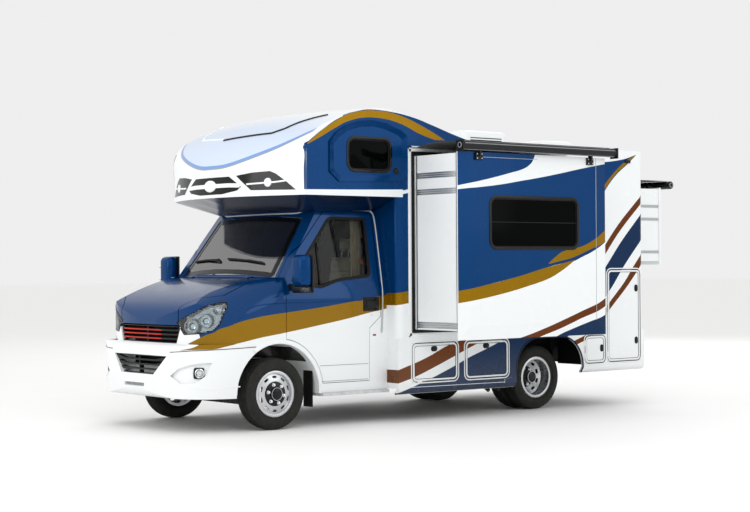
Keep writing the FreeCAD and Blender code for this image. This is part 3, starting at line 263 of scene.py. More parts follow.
def cab_graphics(tree, x, y, z):
    """White below, a gold sweep, and blue above; grey trim on the cab's inner faces."""
    out = calc(tree, "ABSOLUTE", y)
    high = calc(tree, "GREATER_THAN", z, height_line(tree, x, CAB_BLUE_LOW))
    # Gold lies on the sides only and ends at the headlamp; the trim lies between the sill and the cab's roof.
    gold = both(tree, stripe(tree, x, z, CAB_GOLD_TOP, CAB_GOLD_LOW), calc(tree, "GREATER_THAN", out, 0.66),
                calc(tree, "LESS_THAN", x, 0.905))
    lean = height_line(tree, z, drawn("300 930, 1250 930, 1460 892, 2070 785, 2200 770"))
    slope = height_line(tree, z, drawn("300 -185, 1460 -190, 2090 -660, 2200 -740"))
    inside = both(tree, calc(tree, "LESS_THAN", out, lean), calc(tree, "LESS_THAN", x, slope),
                  calc(tree, "GREATER_THAN", z, 0.640), calc(tree, "LESS_THAN", z, 2.125))
    return [(high, BLUE, 0.35), (gold, GOLD, 0.55), (inside, "#333230", 0.0)]


def cheek_graphics(tree, x, y, z):
    """Blue cheek under a white rim, a gold arc, and a white band along its foot."""
    return coats(tree, x, z, CHEEK_SWEEPS)


def cap_graphics(tree, x, y, z):
    """White moulding with a pale blue screen-shaped field, which is painted sky reflection, edged in a blue stripe
    lightened by painted reflection and a grey line of painted shadow.
    """
    edge = drawn("""0 2548, 150 2550, 300 2568, 450 2600, 600 2638, 750 2681, 881 2727, 970 2768, 1030 2800,
        1183 2900""")
    over = calc(tree, "SUBTRACT", z, height_line(tree, calc(tree, "ABSOLUTE", y), edge))
    forward = calc(tree, "GREATER_THAN", x, -0.75)
    front = mapped(tree, x, -0.75, -0.30)
    # Painted light: the pale blue field stands for bright sky reflected in the cap's upward face, and the grey line
    # for the shade under the field's edge. The blue stripe is real but drawn pale as painted reflection.
    return [(both(tree, mask, forward, front), colour, metal) for mask, colour, metal in (
        (calc(tree, "GREATER_THAN", over, 0.0), "#cdd9ec", 0.0),
        (calc(tree, "COMPARE", over, 0.010, 0.014), "#7fa3dc", 0.2),
        (calc(tree, "COMPARE", over, -0.010, 0.007), "#9aa0a4", 0.0))]


def painted_panel(name, base, layers_of=None, roughness=0.24, roll_mm=0.25, coat=0.05, metal=0.0):
    """Two-pack paint with clear lacquer: masked metallic coats over the base colour."""
    material, tree = blank(name)
    moved = add(tree, "Mapping", {}, {"Vector": here(tree), "Location": (-front_x, -mid_y, 0)})
    place = add(tree, "SeparateXYZ", {}, {0: moved}).outputs
    colour = linear(base)
    for mask, hex_colour, share in layers_of(tree, *place) if layers_of else ():
        colour = mixed(tree, mask, colour, linear(hex_colour))
        metal = add(tree, "Mix", {"data_type": "FLOAT"}, {0: mask, 2: metal, 3: share}).outputs[0]
    # Metallic flake, drawn at 12 mm because the real 0.1 mm is under a pixel.
    colour = patchy(tree, colour, metal, 12, 0.93, 1.07)
    # Road dust greys the panels' feet a little.
    colour = mixed(tree, mapped(tree, place[2], 0.25, 0.75, 0.12, 0.0), colour, linear("#a59f92"))
    surface(tree, {"Base Color": colour, "Metallic": metal, "Specular IOR Level": 0.12,
                   "Roughness": grain(tree, 160, roughness - 0.03, roughness + 0.05),
                   "Coat Weight": coat, "Coat Roughness": 0.04}, grain(tree, 90, 0, 1), roll_mm)
    return material


def moulded(name, colour, roughness, grain_mm=1.2, bump_mm=0.15, spread=0.12, gloss=0.3):
    """Moulded plastic or rubber: a fine leather grain, and patches worn a little smoother."""
    material, tree = blank(name)
    base = patchy(tree, linear(colour), 1.0, 60, 1 - spread, 1 + spread)
    # The grain of 0.3 mm is drawn coarser, because it would be under a pixel.
    surface(tree, {"Base Color": base, "Roughness": grain(tree, 40, roughness - 0.06, roughness + 0.08),
                   "Specular IOR Level": gloss}, grain(tree, grain_mm * 4, 0, 1, 5.0), bump_mm)
    return material


def bare_metal(name, colour, roughness, brush_mm=3.0):
    """Bare or plated metal with faint turning marks."""
    material, tree = blank(name)
    surface(tree, {"Base Color": linear(colour), "Metallic": 1.0,
                   "Roughness": grain(tree, 25, roughness - 0.05, roughness + 0.08)},
            grain(tree, brush_mm, 0, 1, 4.0), 0.06)
    return material


def glazing(name, colour, roughness, see_through, density, gloss_index=1.5):
    """Sheet glass or clear acrylic, tinted in the mass; a low index stands for a matt film on it."""
    material, tree = blank(name)
    clear = add(tree, "BsdfTransparent", {}, {0: linear(colour)})
    body = add(tree, "BsdfPrincipled", {}, {"Base Color": linear(density), "Roughness": 0.3,
                                            "Specular IOR Level": 0.0})
    haze = add(tree, "MixShader", {}, {0: 1 - see_through, 1: clear, 2: body})
    # A trace of dust makes the gloss a little uneven.
    shine = add(tree, "BsdfGlossy", {}, {"Roughness": grain(tree, 200, roughness, roughness + 0.03)})
    share = add(tree, "Fresnel", {}, {"IOR": gloss_index})
    add(tree, "OutputMaterial", {}, {"Surface": add(tree, "MixShader", {}, {0: share, 1: haze, 2: shine})})
    return material


def woven(name, colour, second, roughness, sheen):
    """Plain weave: threads that cross over and under, each a little off in tone."""
    # The weave of about 1 mm is drawn at 6 mm so that it shows.
    waves = 500 / 6 / 3.14
    material, tree = blank(name)
    across, down = (add(tree, "TexWave", {"bands_direction": way}, {"Vector": here(tree), "Scale": waves})
                    for way in "XZ")
    base = mixed(tree, grain(tree, 35, 0.0, 1.0), linear(colour), linear(second))
    surface(tree, {"Base Color": base, "Roughness": roughness, "Sheen Weight": sheen, "Sheen Roughness": 0.5},
            calc(tree, "MULTIPLY", across.outputs[1], down.outputs[1]), 0.5)
    return material


side_paint = painted_panel("lacquered_side_paint", WHITE, side_graphics)
cab_paint = painted_panel("metallic_cab_paint", "#eceff0", cab_graphics, 0.2, 0.12, 0.35)
cheek_paint = painted_panel("lacquered_cheek_paint", WHITE, cheek_graphics)
# The overcab cap's paint carries painted sky reflection and a painted shadow line.
cap_gelcoat_and_painted_light = painted_panel("glass_fibre_gelcoat", WHITE, cap_graphics, 0.22, 0.2)
white_paint = painted_panel("white_gelcoat", WHITE)
blue_paint = painted_panel("blue_metallic_paint", BLUE, None, 0.2, 0.12, metal=0.35)
under_paint = painted_panel("dark_blue_gloss_paint", "#0b1e3c", None, 0.2, metal=0.3)
red_paint = painted_panel("red_lacquer", "#c3221c")

black_plastic = moulded("grained_black_polypropylene", "#0c0d0e", 0.42)
gloss_black = moulded("gloss_black_acrylic", "#060708", 0.14, 6.0, 0.02)
chassis_black = moulded("brushed_chassis_enamel", "#101112", 0.5, 2.0, 0.3)
rubber = moulded("black_rubber_seal", "#0b0b0b", 0.62, 0.8, 0.1)
tyre_rubber = moulded("carbon_black_tyre_rubber", "#232320", 0.72, 1.5, 0.3, 0.2, 0.25)
dash_plastic = moulded("dark_grey_dashboard_plastic", "#191a1c", 0.55)
card = moulded("plain_card", "#e9e6d8", 0.8, 0.6, 0.02)
grey_plastic = moulded("grey_moulded_plastic", "#8a8d90", 0.4)
tank_plastic = moulded("black_polyethylene_tank", "#1a1b1d", 0.45)
floor_vinyl = moulded("wood_vinyl_floor", "#4c3a29", 0.5, 8.0, 0.1)
step_grey = moulded("ribbed_grey_step_plastic", "#c4c7c9", 0.5, 2.0, 0.2)
signal_orange = moulded("orange_buckle_plastic", "#d8531c", 0.4)

wheel_steel = bare_metal("silver_lacquered_wheel_steel", "#c9cbcd", 0.28)
chrome = bare_metal("chrome_plate", "#e6e8ea", 0.08, 9.0)
aluminium = bare_metal("anodised_aluminium", "#b9bcbf", 0.35)
cast_iron = bare_metal("oiled_cast_iron", "#4a4641", 0.55, 6.0)
mirror_silver = bare_metal("mirror_silvering", "#f2f4f6", 0.02, 40.0)
chrome_bezel = bare_metal("vapour_plated_bezel", "#b4babf", 0.2, 9.0)

cab_glass = glazing("green_tinted_safety_glass", "#e6ebe8", 0.02, 0.97, "#2a312e", 3.6)
door_glass = glazing("tinted_door_glass", "#e6e9e6", 0.02, 0.97, "#2a312e", 1.25)
house_glass = glazing("smoked_acrylic_window", "#141618", 0.05, 0.12, "#030404", 1.12)
lens_clear = glazing("clear_polycarbonate_lens", "#f6fafb", 0.02, 0.96, "#d6dde0")
lens_red = glazing("red_acrylic_lens", "#b01810", 0.08, 0.25, "#8c0f0a")
lens_amber = glazing("amber_acrylic_lens", "#d98518", 0.08, 0.25, "#c8720c")

seat_cloth = woven("plastic_covered_seat_cloth", "#c6baa6", "#dad0c0", 0.35, 0.1)
curtain_cloth = woven("pleated_curtain_cloth", "#9c8a74", "#b5a48d", 0.8, 0.4)
awning_cloth = woven("coated_awning_fabric", "#1b1c1e", "#222427", 0.55, 0.2)


# ---------------------------------------------------------------- mesh tools

def all_parts(bm):
    """Every vertex, edge and face."""
    return bm.verts[:] + bm.edges[:] + bm.faces[:]


def bevelled(bm, geom, width, steps, kind="EDGES"):
    """Rounds edges or corners."""
    bmesh.ops.bevel(bm, geom=geom, offset=width, affect=kind, segments=steps, profile=0.5, material=-1,
                    offset_type="OFFSET", clamp_overlap=True)


def box(bm, x0, x1, y0, y1, z0, z1, round_edge=0.0, steps=2):
    """Box between two corners with rounded edges."""
    middle = Vector(((x0 + x1) / 2, (y0 + y1) / 2, (z0 + z1) / 2))
    size = (abs(x1 - x0), abs(y1 - y0), abs(z1 - z0))
    made = bmesh.ops.create_cube(bm, size=1.0, matrix=Matrix.Translation(middle) @ Matrix.Diagonal(size + (1,)))
    if round_edge:
        bevelled(bm, list({e for v in made["verts"] for e in v.link_edges}), round_edge, steps)


def boxes(bm, text):
    """Boxes from rows in millimetres: x, y and z from and to, the edges' radius, and its steps."""
    for row in text.split(","):
        numbers = [float(number) for number in row.split()]
        box(bm, *[size / 1000 for size in numbers[:7]], *[int(count) for count in numbers[7:]])


def turned(bm, profile, centre, axis=(0, 1, 0), steps=64):
    """Ring or bowl spun about an axle from (radius, along) points."""
    centre, axis = Vector(centre), Vector(axis)
    side = axis.orthogonal().normalized()
    verts = [bm.verts.new(centre + side * r + axis * y) for r, y in profile]
    edges = [bm.edges.new(ends) for ends in zip(verts, verts[1:])]
    bmesh.ops.spin(bm, geom=verts + edges, cent=centre, axis=axis, angle=2 * math.pi, steps=steps, use_merge=True)
    bmesh.ops.remove_doubles(bm, verts=bm.verts[:], dist=WELD)


def oblong(axis, at, a0, a1, z0, z1):
    """Corners of an upright rectangle across the X or the Y axis."""
    return [(at, a, z) if axis == "X" else (a, at, z) for a, z in ((a0, z0), (a1, z0), (a1, z1), (a0, z1))]


def sheet_from(bm, points, round_corner=0.0, steps=6):
    """Flat face through the points, its corners rounded."""
    verts = [bm.verts.new(p) for p in points]
    bm.faces.new(verts)
    if round_corner:
        bevelled(bm, verts, round_corner, steps, "VERTICES")
    return max(bm.faces, key=lambda f: f.calc_area())


def thicken(bm, step, faces=None):
    """Pulls the faces along a step and closes the sides."""
    made = bmesh.ops.extrude_face_region(bm, geom=faces or bm.faces[:])
    bmesh.ops.translate(bm, verts=[v for v in made["geom"] if isinstance(v, bmesh.types.BMVert)], vec=step)


def soften(bm, width, steps=2, least=0.9):
    """Rounds the edges that turn sharply."""
    bmesh.ops.remove_doubles(bm, verts=bm.verts[:], dist=WELD)
    bevelled(bm, [e for e in bm.edges if len(e.link_faces) == 2 and e.calc_face_angle(0) > least], width, steps)


def plate(bm, points, round_corner, step, edge=0.0, steps=6):
    """Thick sheet with rounded corners and edges."""
    sheet_from(bm, points, round_corner, steps)
    thicken(bm, step)
    if edge:
        soften(bm, edge)


def inset(bm, face, width):
    """Cuts a border of that width from a face."""
    bmesh.ops.inset_region(bm, faces=[face], thickness=width, use_even_offset=True, use_boundary=True)


def frame_of(bm, face, width, cuts=0):
    """Leaves only a border of that width of a face, in finer pieces if asked."""
    inset(bm, face, width)
    bmesh.ops.delete(bm, geom=[face], context="FACES")
    if cuts:
        bmesh.ops.subdivide_edges(bm, edges=bm.edges[:], cuts=cuts, use_grid_fill=True)


def both_sides(bm):
    """Adds the mirror image on the vehicle's other side."""
    bmesh.ops.mirror(bm, geom=all_parts(bm), matrix=Matrix.Identity(4), merge_dist=0.0, axis="Y")


def on_right(bm, side):
    """Turns a left piece into the right one where side is -1."""
    if side < 0:
        bmesh.ops.scale(bm, vec=(1, -1, 1), verts=bm.verts[:])


def joined(bm, part):
    """Adds a finished mesh to another."""
    mesh = bpy.data.meshes.new("joined_part")
    part.to_mesh(mesh)
    part.free()
    bm.from_mesh(mesh)
    bpy.data.meshes.remove(mesh)


surface_trees = {}


def surface_of(name):
    """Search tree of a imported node's mesh."""
    if name not in surface_trees:
        mesh = nodes[name].data
        points = [v.co - Vector((front_x, mid_y, 0)) for v in mesh.vertices]
        surface_trees[name] = BVHTree.FromPolygons(points, [tuple(p.vertices) for p in mesh.polygons])
    return surface_trees[name]


def on_skin(point, names, along, lift=0.0):
    """Place where a line from outside meets the first of the nodes, or None."""
    best = None
    for name in names:
        spot, _, _, far = surface_of(name).ray_cast(point - along * FAR_OUT, along)
        if spot is not None and (best is None or far < best[1]):
            best = (spot, far)
    return best[0] - along * lift if best else None


def lay_on(bm, name, along, lift):
    """Moves points along a direction until they meet the node, or else to its nearest place."""
    for v in bm.verts:
        v.co = on_skin(v.co, (name,), along, lift) or surface_of(name).find_nearest(v.co)[0] - along * lift


def spaced(points, step=0.03):
    """Points every step of the way along a drawn line."""
    row = []
    for first, second in zip(points, points[1:]):
        first, second = Vector(first), Vector(second)
        count = max(1, round((second - first).length / step))
        row += [first.lerp(second, k / count) for k in range(count)]
    return row + [Vector(points[-1])]


def traced(text, names, along, lift=0.0, step=0.03):
    """A drawn line laid on the nodes."""
    return [on_skin(point, names, along, lift) or point for point in spaced(drawn(text), step)]


def ribbon(bm, text, across, names, along, lift=0.002, thick=0.003, step=0.03):
    """Band from a drawn line pulled sideways, laid on the nodes and sunk into them."""
    row = [bm.verts.new(point) for point in spaced(drawn(text), step)]
    edges = [bm.edges.new(ends) for ends in zip(row, row[1:])]
    rows = max(1, math.ceil(Vector(across).length / 0.02))
    for _ in range(rows):
        made = bmesh.ops.extrude_edge_only(bm, edges=edges)["geom"]
        verts = [v for v in made if isinstance(v, bmesh.types.BMVert)]
        edges = [e for e in made if isinstance(e, bmesh.types.BMEdge) and all(v in set(verts) for v in e.verts)]
        bmesh.ops.translate(bm, verts=verts, vec=Vector(across) / rows)
    for v in bm.verts:
        v.co = on_skin(v.co, names, along, lift) or v.co
    thicken(bm, along * thick)


def clipped_sheet(bm, outline, along, cells=40):
    """Grid across a direction, trimmed to a convex outline."""
    points = [Vector(p) for p in outline]
    middle = sum(points, Vector()) / len(points)
    span = max((p - middle).length for p in points) * 1.05
    turn = along.to_track_quat("Z", "Y").to_matrix().to_4x4()
    bmesh.ops.create_grid(bm, x_segments=cells, y_segments=cells, size=span,
                          matrix=Matrix.Translation(middle) @ turn)
    for first, second in zip(points, points[1:] + points[:1]):
        normal = (second - first).cross(along).normalized()
        if normal.dot(middle - first) > 0:
            normal = -normal
        bmesh.ops.bisect_plane(bm, geom=all_parts(bm), plane_co=first, plane_no=normal, clear_outer=True)


def side_ring(bm, x0, x1, z0, z1, y, round_corner, width, out, edge=0.0015):
    """Rounded frame in side view, width wide and standing out from y."""
    part = bmesh.new()
    frame_of(part, sheet_from(part, oblong("Y", y, x0, x1, z0, z1), round_corner), width)
    thicken(part, (0, out, 0))
    if edge:
        soften(part, edge)
    joined(bm, part)


def profile_along(bm, section, start, end):
    """Extrusion: a section of points pulled from one place to another."""
    part = bmesh.new()
    part.faces.new([part.verts.new(Vector(start) + Vector(p)) for p in section])
    thicken(part, Vector(end) - Vector(start))
    soften(part, 0.0015, 2, 0.5)
    joined(bm, part)


def placed(name, data):
    """A new object in the scene."""
    made = bpy.data.objects.new(name, data)
    bpy.context.scene.collection.objects.link(made)
    return made


def finished(name, bm, material, body="chassis", sharp=35, old=None):
    """Finishes a mesh as a piece that rides on a body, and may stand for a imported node."""
    bmesh.ops.remove_doubles(bm, verts=bm.verts[:], dist=WELD)
    bmesh.ops.recalc_face_normals(bm, faces=bm.faces[:])
    mesh = bpy.data.meshes.new(name)
    bm.to_mesh(mesh)
    bm.free()
    mesh.transform(to_frame)
    mesh.materials.append(material)
    for face in mesh.polygons:
        face.use_smooth = True
    mesh.set_sharp_from_angle(angle=math.radians(sharp))
    made = placed(name, mesh)
    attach(made, body)
    if old:
        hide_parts(old)
    return made


def piece(name, material, *steps, side=1, **more):
    """A piece made by steps; each step is a tool and its values."""
    bm = bmesh.new()
    for tool, *values in steps:
        tool(bm, *values)
    on_right(bm, side)
    return finished(name, bm, material, **more)


def pair(name, material, *steps, **more):
    """A piece on the left and its mirror image; body or old that end in _ get the side's name."""
    for side, end in SIDES:
        ends = {key: value + end if str(value).endswith("_") else value for key, value in more.items()}
        piece(name + "_" + end, material, *steps, side=side, **ends)


def bar(name, points, radius, material, body="chassis", side=1, smooth=True, mirror=False):
    """Round bar that follows the points."""
    curve = bpy.data.curves.new(name, "CURVE")
    curve.dimensions = "3D"
    spline = curve.splines.new("NURBS" if smooth else "POLY")
    spline.points.add(len(points) - 1)
    for place, (x, y, z) in zip(spline.points, points):
        place.co = (x, side * y, z, 1.0)
    if smooth:
        spline.order_u = 3
        spline.use_endpoint_u = True
    curve.bevel_depth = radius
    curve.bevel_resolution = 3
    curve.use_fill_caps = True
    holder = placed(name + "_line", curve)
    mesh = bpy.data.meshes.new_from_object(holder)
    bpy.data.objects.remove(holder)
    bm = bmesh.new()
    bm.from_mesh(mesh)
    bpy.data.meshes.remove(mesh)
    if mirror:
        both_sides(bm)
    finished(name, bm, material, body, 50)


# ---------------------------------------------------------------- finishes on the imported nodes

FINISHES = {
    side_paint: "house_wall_front house_wall_left house_wall_right house_wall_rear skirt_left skirt_right "
                "locker_door_1 locker_door_2 locker_door_3 locker_door_4 locker_door_5 side_slide_box entry_door "
                "house_roof",
    cab_paint: "cab_shell bonnet front_bumper cab_door_left cab_door_right", cheek_paint: "overcab_cheeks",
    cap_gelcoat_and_painted_light: "overcab_cap", white_paint: "rear_slide_box rear_bumper roof_units", floor_vinyl: "house_floor",
    step_grey: "running_boards", blue_paint: "mirror_left mirror_right", under_paint: "overcab_floor",
    door_glass: "door_glass_left door_glass_right", house_glass: "side_slide_window",
    chassis_black: "chassis_frame front_suspension rear_axle", cast_iron: "knuckle_left knuckle_right engine",
    tank_plastic: "tanks", tyre_rubber: "tyre_front_left tyre_front_right tyres_rear_left tyres_rear_right",
    wheel_steel: "rim_front_left rim_front_right rims_rear_left rims_rear_right",
    black_plastic: "grilles side_topper rear_topper locker_tubs", dash_plastic: "dashboard", rubber: "mudflaps",
    seat_cloth: "cab_seats", awning_cloth: "topper_fabrics"}
for finish, names in FINISHES.items():
    for name in names.split():
        for held in nodes[name].material_slots:
            held.material = finish


def make_fixed_glass():
    """Windscreen in clear glass; berth and side windows in smoked glass."""
    bm = bmesh.new()
    bm.from_mesh(nodes["fixed_glass"].data)
    bmesh.ops.remove_doubles(bm, verts=bm.verts[:], dist=WELD)
    bmesh.ops.translate(bm, verts=bm.verts[:], vec=(-front_x, -mid_y, 0))
    behind_screen = -0.60
    for face in bm.faces:
        face.material_index = 1 if face.calc_center_median().x < behind_screen else 0
    finished("window_panes", bm, cab_glass, "chassis", 30, "fixed_glass").data.materials.append(house_glass)


# ---------------------------------------------------------------- wheels

# Half section (along, radius) from the bead over the side wall to the middle of the tread.
TYRE = drawn("""-66 205, -69 222, -74 228, -83 236, -90 247, -94 250, -96.5 262, -97 278, -96 292, -92.5 304,
    -90 306, -86 318, -80 329, -74 336, -67 340, -62 341, -58 342, -41 344, -39 336, -34 336, -32 345, -14 346,
    -12 337, -6 337, -4 346""")


def make_tyre(bm, x, y):
    """One tyre with grooves, blocks, lugs and raised rings on its side walls."""
    part = bmesh.new()
    centre = Vector((0, y, axle_z))
    turned(part, [(r, y) for y, r in TYRE] + [(r, -y) for y, r in reversed(TYRE)], centre, steps=90)
    bmesh.ops.recalc_face_normals(part, faces=part.faces[:])
    shoulder, lug_y, tread, tread_half = (0.3385, 0.3450), (0.055, 0.075), 0.3420, 0.058
    lugs, blocks = [], []
    for face in part.faces:
        middle = face.calc_center_median() - centre
        radius = math.hypot(middle.x, middle.z)
        if shoulder[0] < radius < shoulder[1] and lug_y[0] < abs(middle.y) < lug_y[1]:
            lugs.append(face)
        elif radius >= tread and abs(middle.y) < tread_half:
            blocks.append(face)
    bmesh.ops.inset_individual(part, faces=lugs, thickness=0.0022, depth=-0.004)
    bmesh.ops.inset_individual(part, faces=blocks, thickness=0.0014, depth=-0.0016)
    bmesh.ops.translate(part, verts=part.verts[:], vec=(x, 0, 0))
    joined(bm, part)


def nut(bm, x, y, z, side):
    """Wheel nut with a round washer and a hexagon head."""
    for radius, low, high, segments in ((0.017, 0.0, 0.005, 20), (0.0145, 0.005, 0.020, 6)):
        matrix = Matrix.Translation((x, y + side * (low + high) / 2, z)) @ Matrix.Rotation(math.pi / 2, 4, "X")
        made = bmesh.ops.create_cone(bm, cap_ends=True, segments=segments, radius1=radius, radius2=radius,
                                     depth=high - low, matrix=matrix)
        bevelled(bm, [e for e in {e for v in made["verts"] for e in v.link_edges} if len(e.link_faces) == 2
                      and e.calc_face_angle(0) > 1.4], 0.0015, 2)


def make_wheel_parts(side, end):
    """Tyres, hub caps, nut rings, flanges and valves of one side's wheels."""
    front, rear = "wheel_front_" + end, "wheels_rear_" + end
    outer_y = rear_wheel_y + twin_gap
    piece("road_tyre_front_" + end, tyre_rubber, (make_tyre, 0, side * front_wheel_y), body=front, sharp=28,
          old="tyre_front_" + end)
    piece("road_tyres_rear_" + end, tyre_rubber, (make_tyre, -wheelbase, side * (rear_wheel_y - twin_gap)),
          (make_tyre, -wheelbase, side * outer_y), body=rear, sharp=28, old="tyres_rear_" + end)
    for body, x, face, tip, lip in ((front, 0.0, 0.937, 0.975, front_wheel_y + half_rim),
                                    (rear, -wheelbase, 0.782, 0.904, outer_y + half_rim)):
        hub = (x, 0, axle_z)
        cap = ([(r, side * (tip + y)) for r, y in drawn("0 6, 30 6, 44 3, 58 -4, 65 -14")]
               + [(r, side * (face + y)) for r, y in drawn("66 14, 72 10, 108 10, 116 7, 119 0.5")])
        piece("hub_cap_" + body, gloss_black, (turned, cap, hub, (0, 1, 0), 72), body=body, sharp=40)
        turns = [math.radians(60 * count + 12) for count in range(6)]
        piece("wheel_nuts_" + body, chrome, *[(nut, x + bolt_circle * math.cos(turn), side * (face + 0.010),
                                               axle_z + bolt_circle * math.sin(turn), side) for turn in turns],
              body=body, sharp=30)
        ring = [(r, side * (lip + y))
                for r, y in drawn("194 -30, 194.5 -2, 197 2, 203 3.5, 214 3.5, 220.5 1, 222.5 -5")]
        piece("rim_flange_" + body, wheel_steel, (turned, ring, hub, (0, 1, 0), 96), body=body, sharp=50)
        stem = [(x + a, lip + b, axle_z + c) for a, b, c in drawn("150 -50 90, 152 -30 92, 158 -16 96")]
        bar("valve_" + body, stem, 0.004, rubber, body, side)


# ---------------------------------------------------------------- lamps and front trims

LAMP = drawn("""829 493 1045, 810 603 925, 744 778 937, 657 883 966, 612 916 1021, 527 925 1188, 514 889 1234,
    573 859 1235, 715 821 1200, 790 678 1124""")
LAMP_INTO = Vector((-1, -1, 0)).normalized()
LAMP_BOWLS = (((0.748, 0.655, 1.005), 0.062), ((0.664, 0.775, 1.055), 0.058), ((0.590, 0.862, 1.160), 0.040))
CAB_SKIN = ("lamps", "front_bumper", "cab_shell", "bonnet", "cab_door_left", "cab_door_right")


def make_headlamp(side, end):
    """Clear lens over a plated housing with reflector bowls and a dark surround."""
    lens = bmesh.new()
    clipped_sheet(lens, LAMP, LAMP_INTO, 46)
    for v in lens.verts:
        v.co = on_skin(v.co, CAB_SKIN, LAMP_INTO, 0.004) or v.co
    housing, rim = lens.copy(), lens.copy()
    thicken(lens, LAMP_INTO * 0.003)
    bmesh.ops.translate(housing, verts=housing.verts[:], vec=LAMP_INTO * 0.006)
    front_faces = housing.faces[:]
    thicken(housing, LAMP_INTO * 0.070, front_faces)
    bmesh.ops.delete(housing, geom=[f for f in front_faces if f.is_valid], context="FACES_KEEP_BOUNDARY")
    bmesh.ops.translate(rim, verts=rim.verts[:], vec=-LAMP_INTO * 0.001)
    inner = [f for f in rim.faces if not any(e.is_boundary for e in f.edges)]
    bmesh.ops.delete(rim, geom=inner, context="FACES")
    thicken(rim, LAMP_INTO * 0.012)
    bowls, bulbs, collars = bmesh.new(), bmesh.new(), bmesh.new()
    for spot, size in LAMP_BOWLS:
        centre = on_skin(Vector(spot), CAB_SKIN, LAMP_INTO) + LAMP_INTO * 0.024
        for bm, profile, steps in (
                (bowls, ((1.02, 0.014), (0.93, 0.000), (0.75, -0.018), (0.45, -0.032), (0.0, -0.038)), 40),
                (collars, ((1.00, 0.010), (1.02, 0.016), (1.10, 0.017), (1.16, 0.010), (1.16, -0.030)), 40),
                (bulbs, ((0.0, 0.004), (0.25, 0.000), (0.42, -0.010), (0.46, -0.024)), 32)):
            turned(bm, [(size * r, y) for r, y in profile], centre, -LAMP_INTO, steps)
    for bm, label, finish, sharp, old in (
            (lens, "lens", lens_clear, 40, "lamps"), (housing, "housing", chrome_bezel, 30, None),
            (bowls, "bowls", chrome, 45, None), (bulbs, "projectors", lens_clear, 45, None),
            (collars, "collars", grey_plastic, 45, None), (rim, "rim", gloss_black, 40, None)):
        on_right(bm, side)
        finished("headlamp_" + label + "_" + end, bm, finish, "chassis", sharp, old)


def grille_strip(bm, z):
    """Thin strip that follows one of the upper grille's slats."""
    part = bmesh.new()
    across = Matrix.Translation((1.2, -0.120, z)) @ Matrix.Rotation(math.pi / 2, 4, "Y")
    bmesh.ops.create_grid(part, x_segments=24, y_segments=24, size=1.0, matrix=across)
    for v in part.verts:
        v.co.y = -0.120 + (v.co.y + 0.120) * 0.370
        v.co.z = z + (v.co.z - z) * 0.0055
    lay_on(part, "grilles", BACKWARDS, 0.003)
    thicken(part, (-0.004, 0, 0))
    joined(bm, part)


def arch_flare(bm):
    """Raised lip round the front wheel arch."""
    centre, start, sweep = Vector((0, 1.0, axle_z)), 0.98, math.radians(116)
    verts = [bm.verts.new(centre + Vector((r * math.cos(start), y, r * math.sin(start))))
             for r, y in drawn("481 -4, 481.5 4, 485 8, 500 9, 518 6, 526 -1")]
    edges = [bm.edges.new(ends) for ends in zip(verts, verts[1:])]
    bmesh.ops.spin(bm, geom=verts + edges, cent=centre, axis=(0, -1, 0), angle=sweep, steps=48, use_merge=False)


def make_front():
    """Trims of the grilles and the bumper, fog lamps, arch flares and the roof gutter."""
    piece("grille_strips", red_paint, *[(grille_strip, z) for z in (0.882, 0.923, 0.963)])
    piece("radiator_core", black_plastic, (boxes, "700 730 -430 430 520 975 6"),
          *[(box, 0.728, 0.738, 0.02 * count - 0.413, 0.02 * count - 0.407, 0.545, 0.950) for count in range(42)])
    # Painted shadow: a thin black bar along the bumper's top edge stands for the shade under that edge.
    seam = (traced("930 540 764, 857 780 782, 696 924 791, 600 965 795", CAB_SKIN, LAMP_INTO, 0.0005)
            + traced("600 1000 795, 544 1000 797, 331 1000 804, 262 1000 806", CAB_SKIN, SIDEWAYS, 0.0005))
    bar("bumper_seam", seam, 0.0035, rubber, mirror=True)
    for label, along, text in (("upper", BACKWARDS, "934 551 711, 948 503 634, 989 279 455, 974 272 359"),
                               ("lower", LAMP_INTO, "870 740 440, 760 880 425, 600 960 430, 440 990 440")):
        bar("bumper_crease_" + label, traced(text, CAB_SKIN, along, -0.003), 0.006, white_paint, mirror=True)
    piece("bumper_slot_insert", grey_plastic,
          (ribbon, "1100 -172 431, 1100 172 431", (0, 0, 0.028), CAB_SKIN, BACKWARDS, 0.002))

    middle = on_skin(Vector((0.790, 0.832, 0.572)), CAB_SKIN, LAMP_INTO)
    level = Vector((1, -1, 0)).normalized()
    corners = [middle + level * a + Vector((0, 0, b)) for a, b in drawn("-50 -52, 54 -52, 58 0, 50 52, -46 52")]
    pair("fog_lamp_bezel", black_plastic, (plate, corners, 0.014, -LAMP_INTO * 0.012, 0.003))
    for label, finish, text, sharp in (("bowl", chrome, "0 14, 20 16, 34 22, 40 26, 44 24, 45 10", 40),
                                       ("lens", lens_clear, "0 31, 20 30, 36 27, 40.5 24.5", 50)):
        pair("fog_lamp_" + label, finish, (turned, drawn(text), middle - level * 0.006, -LAMP_INTO, 40),
             sharp=sharp)
    pair("arch_flare", white_paint, (arch_flare,), sharp=50)
    over = drawn("""-485 0 2092, -485 200 2091, -486 400 2086, -505 620 2078, -560 700 2086, -714 765 2104,
        -800 800 2118, -953 835 2131, -1207 842 2136, -1262 846 2120, -1284 866 2060, -1290 915 1750,
        -1290 968 1446, -1284 1001 1267, -1274 1003 1110, -1262 1003 900""")
    edge = Vector((-0.45, -0.55, -0.70)).normalized()
    line = [on_skin(Vector(p), CAB_SKIN, edge, 0.004) or Vector(p) for p in over[:10]] + over[10:]
    bar("roof_gutter", line, 0.010, aluminium, mirror=True)


# ---------------------------------------------------------------- cab doors, mirrors and windscreen

SKIN_LEAN = drawn("0 1000, 1250 1000, 1370 986, 1460 962, 2070 858, 2150 845")
DOOR_WINDOW = drawn("-180 1452, -500 1340, -742 1415, -1160 1455, -1170 2050, -698 2055")


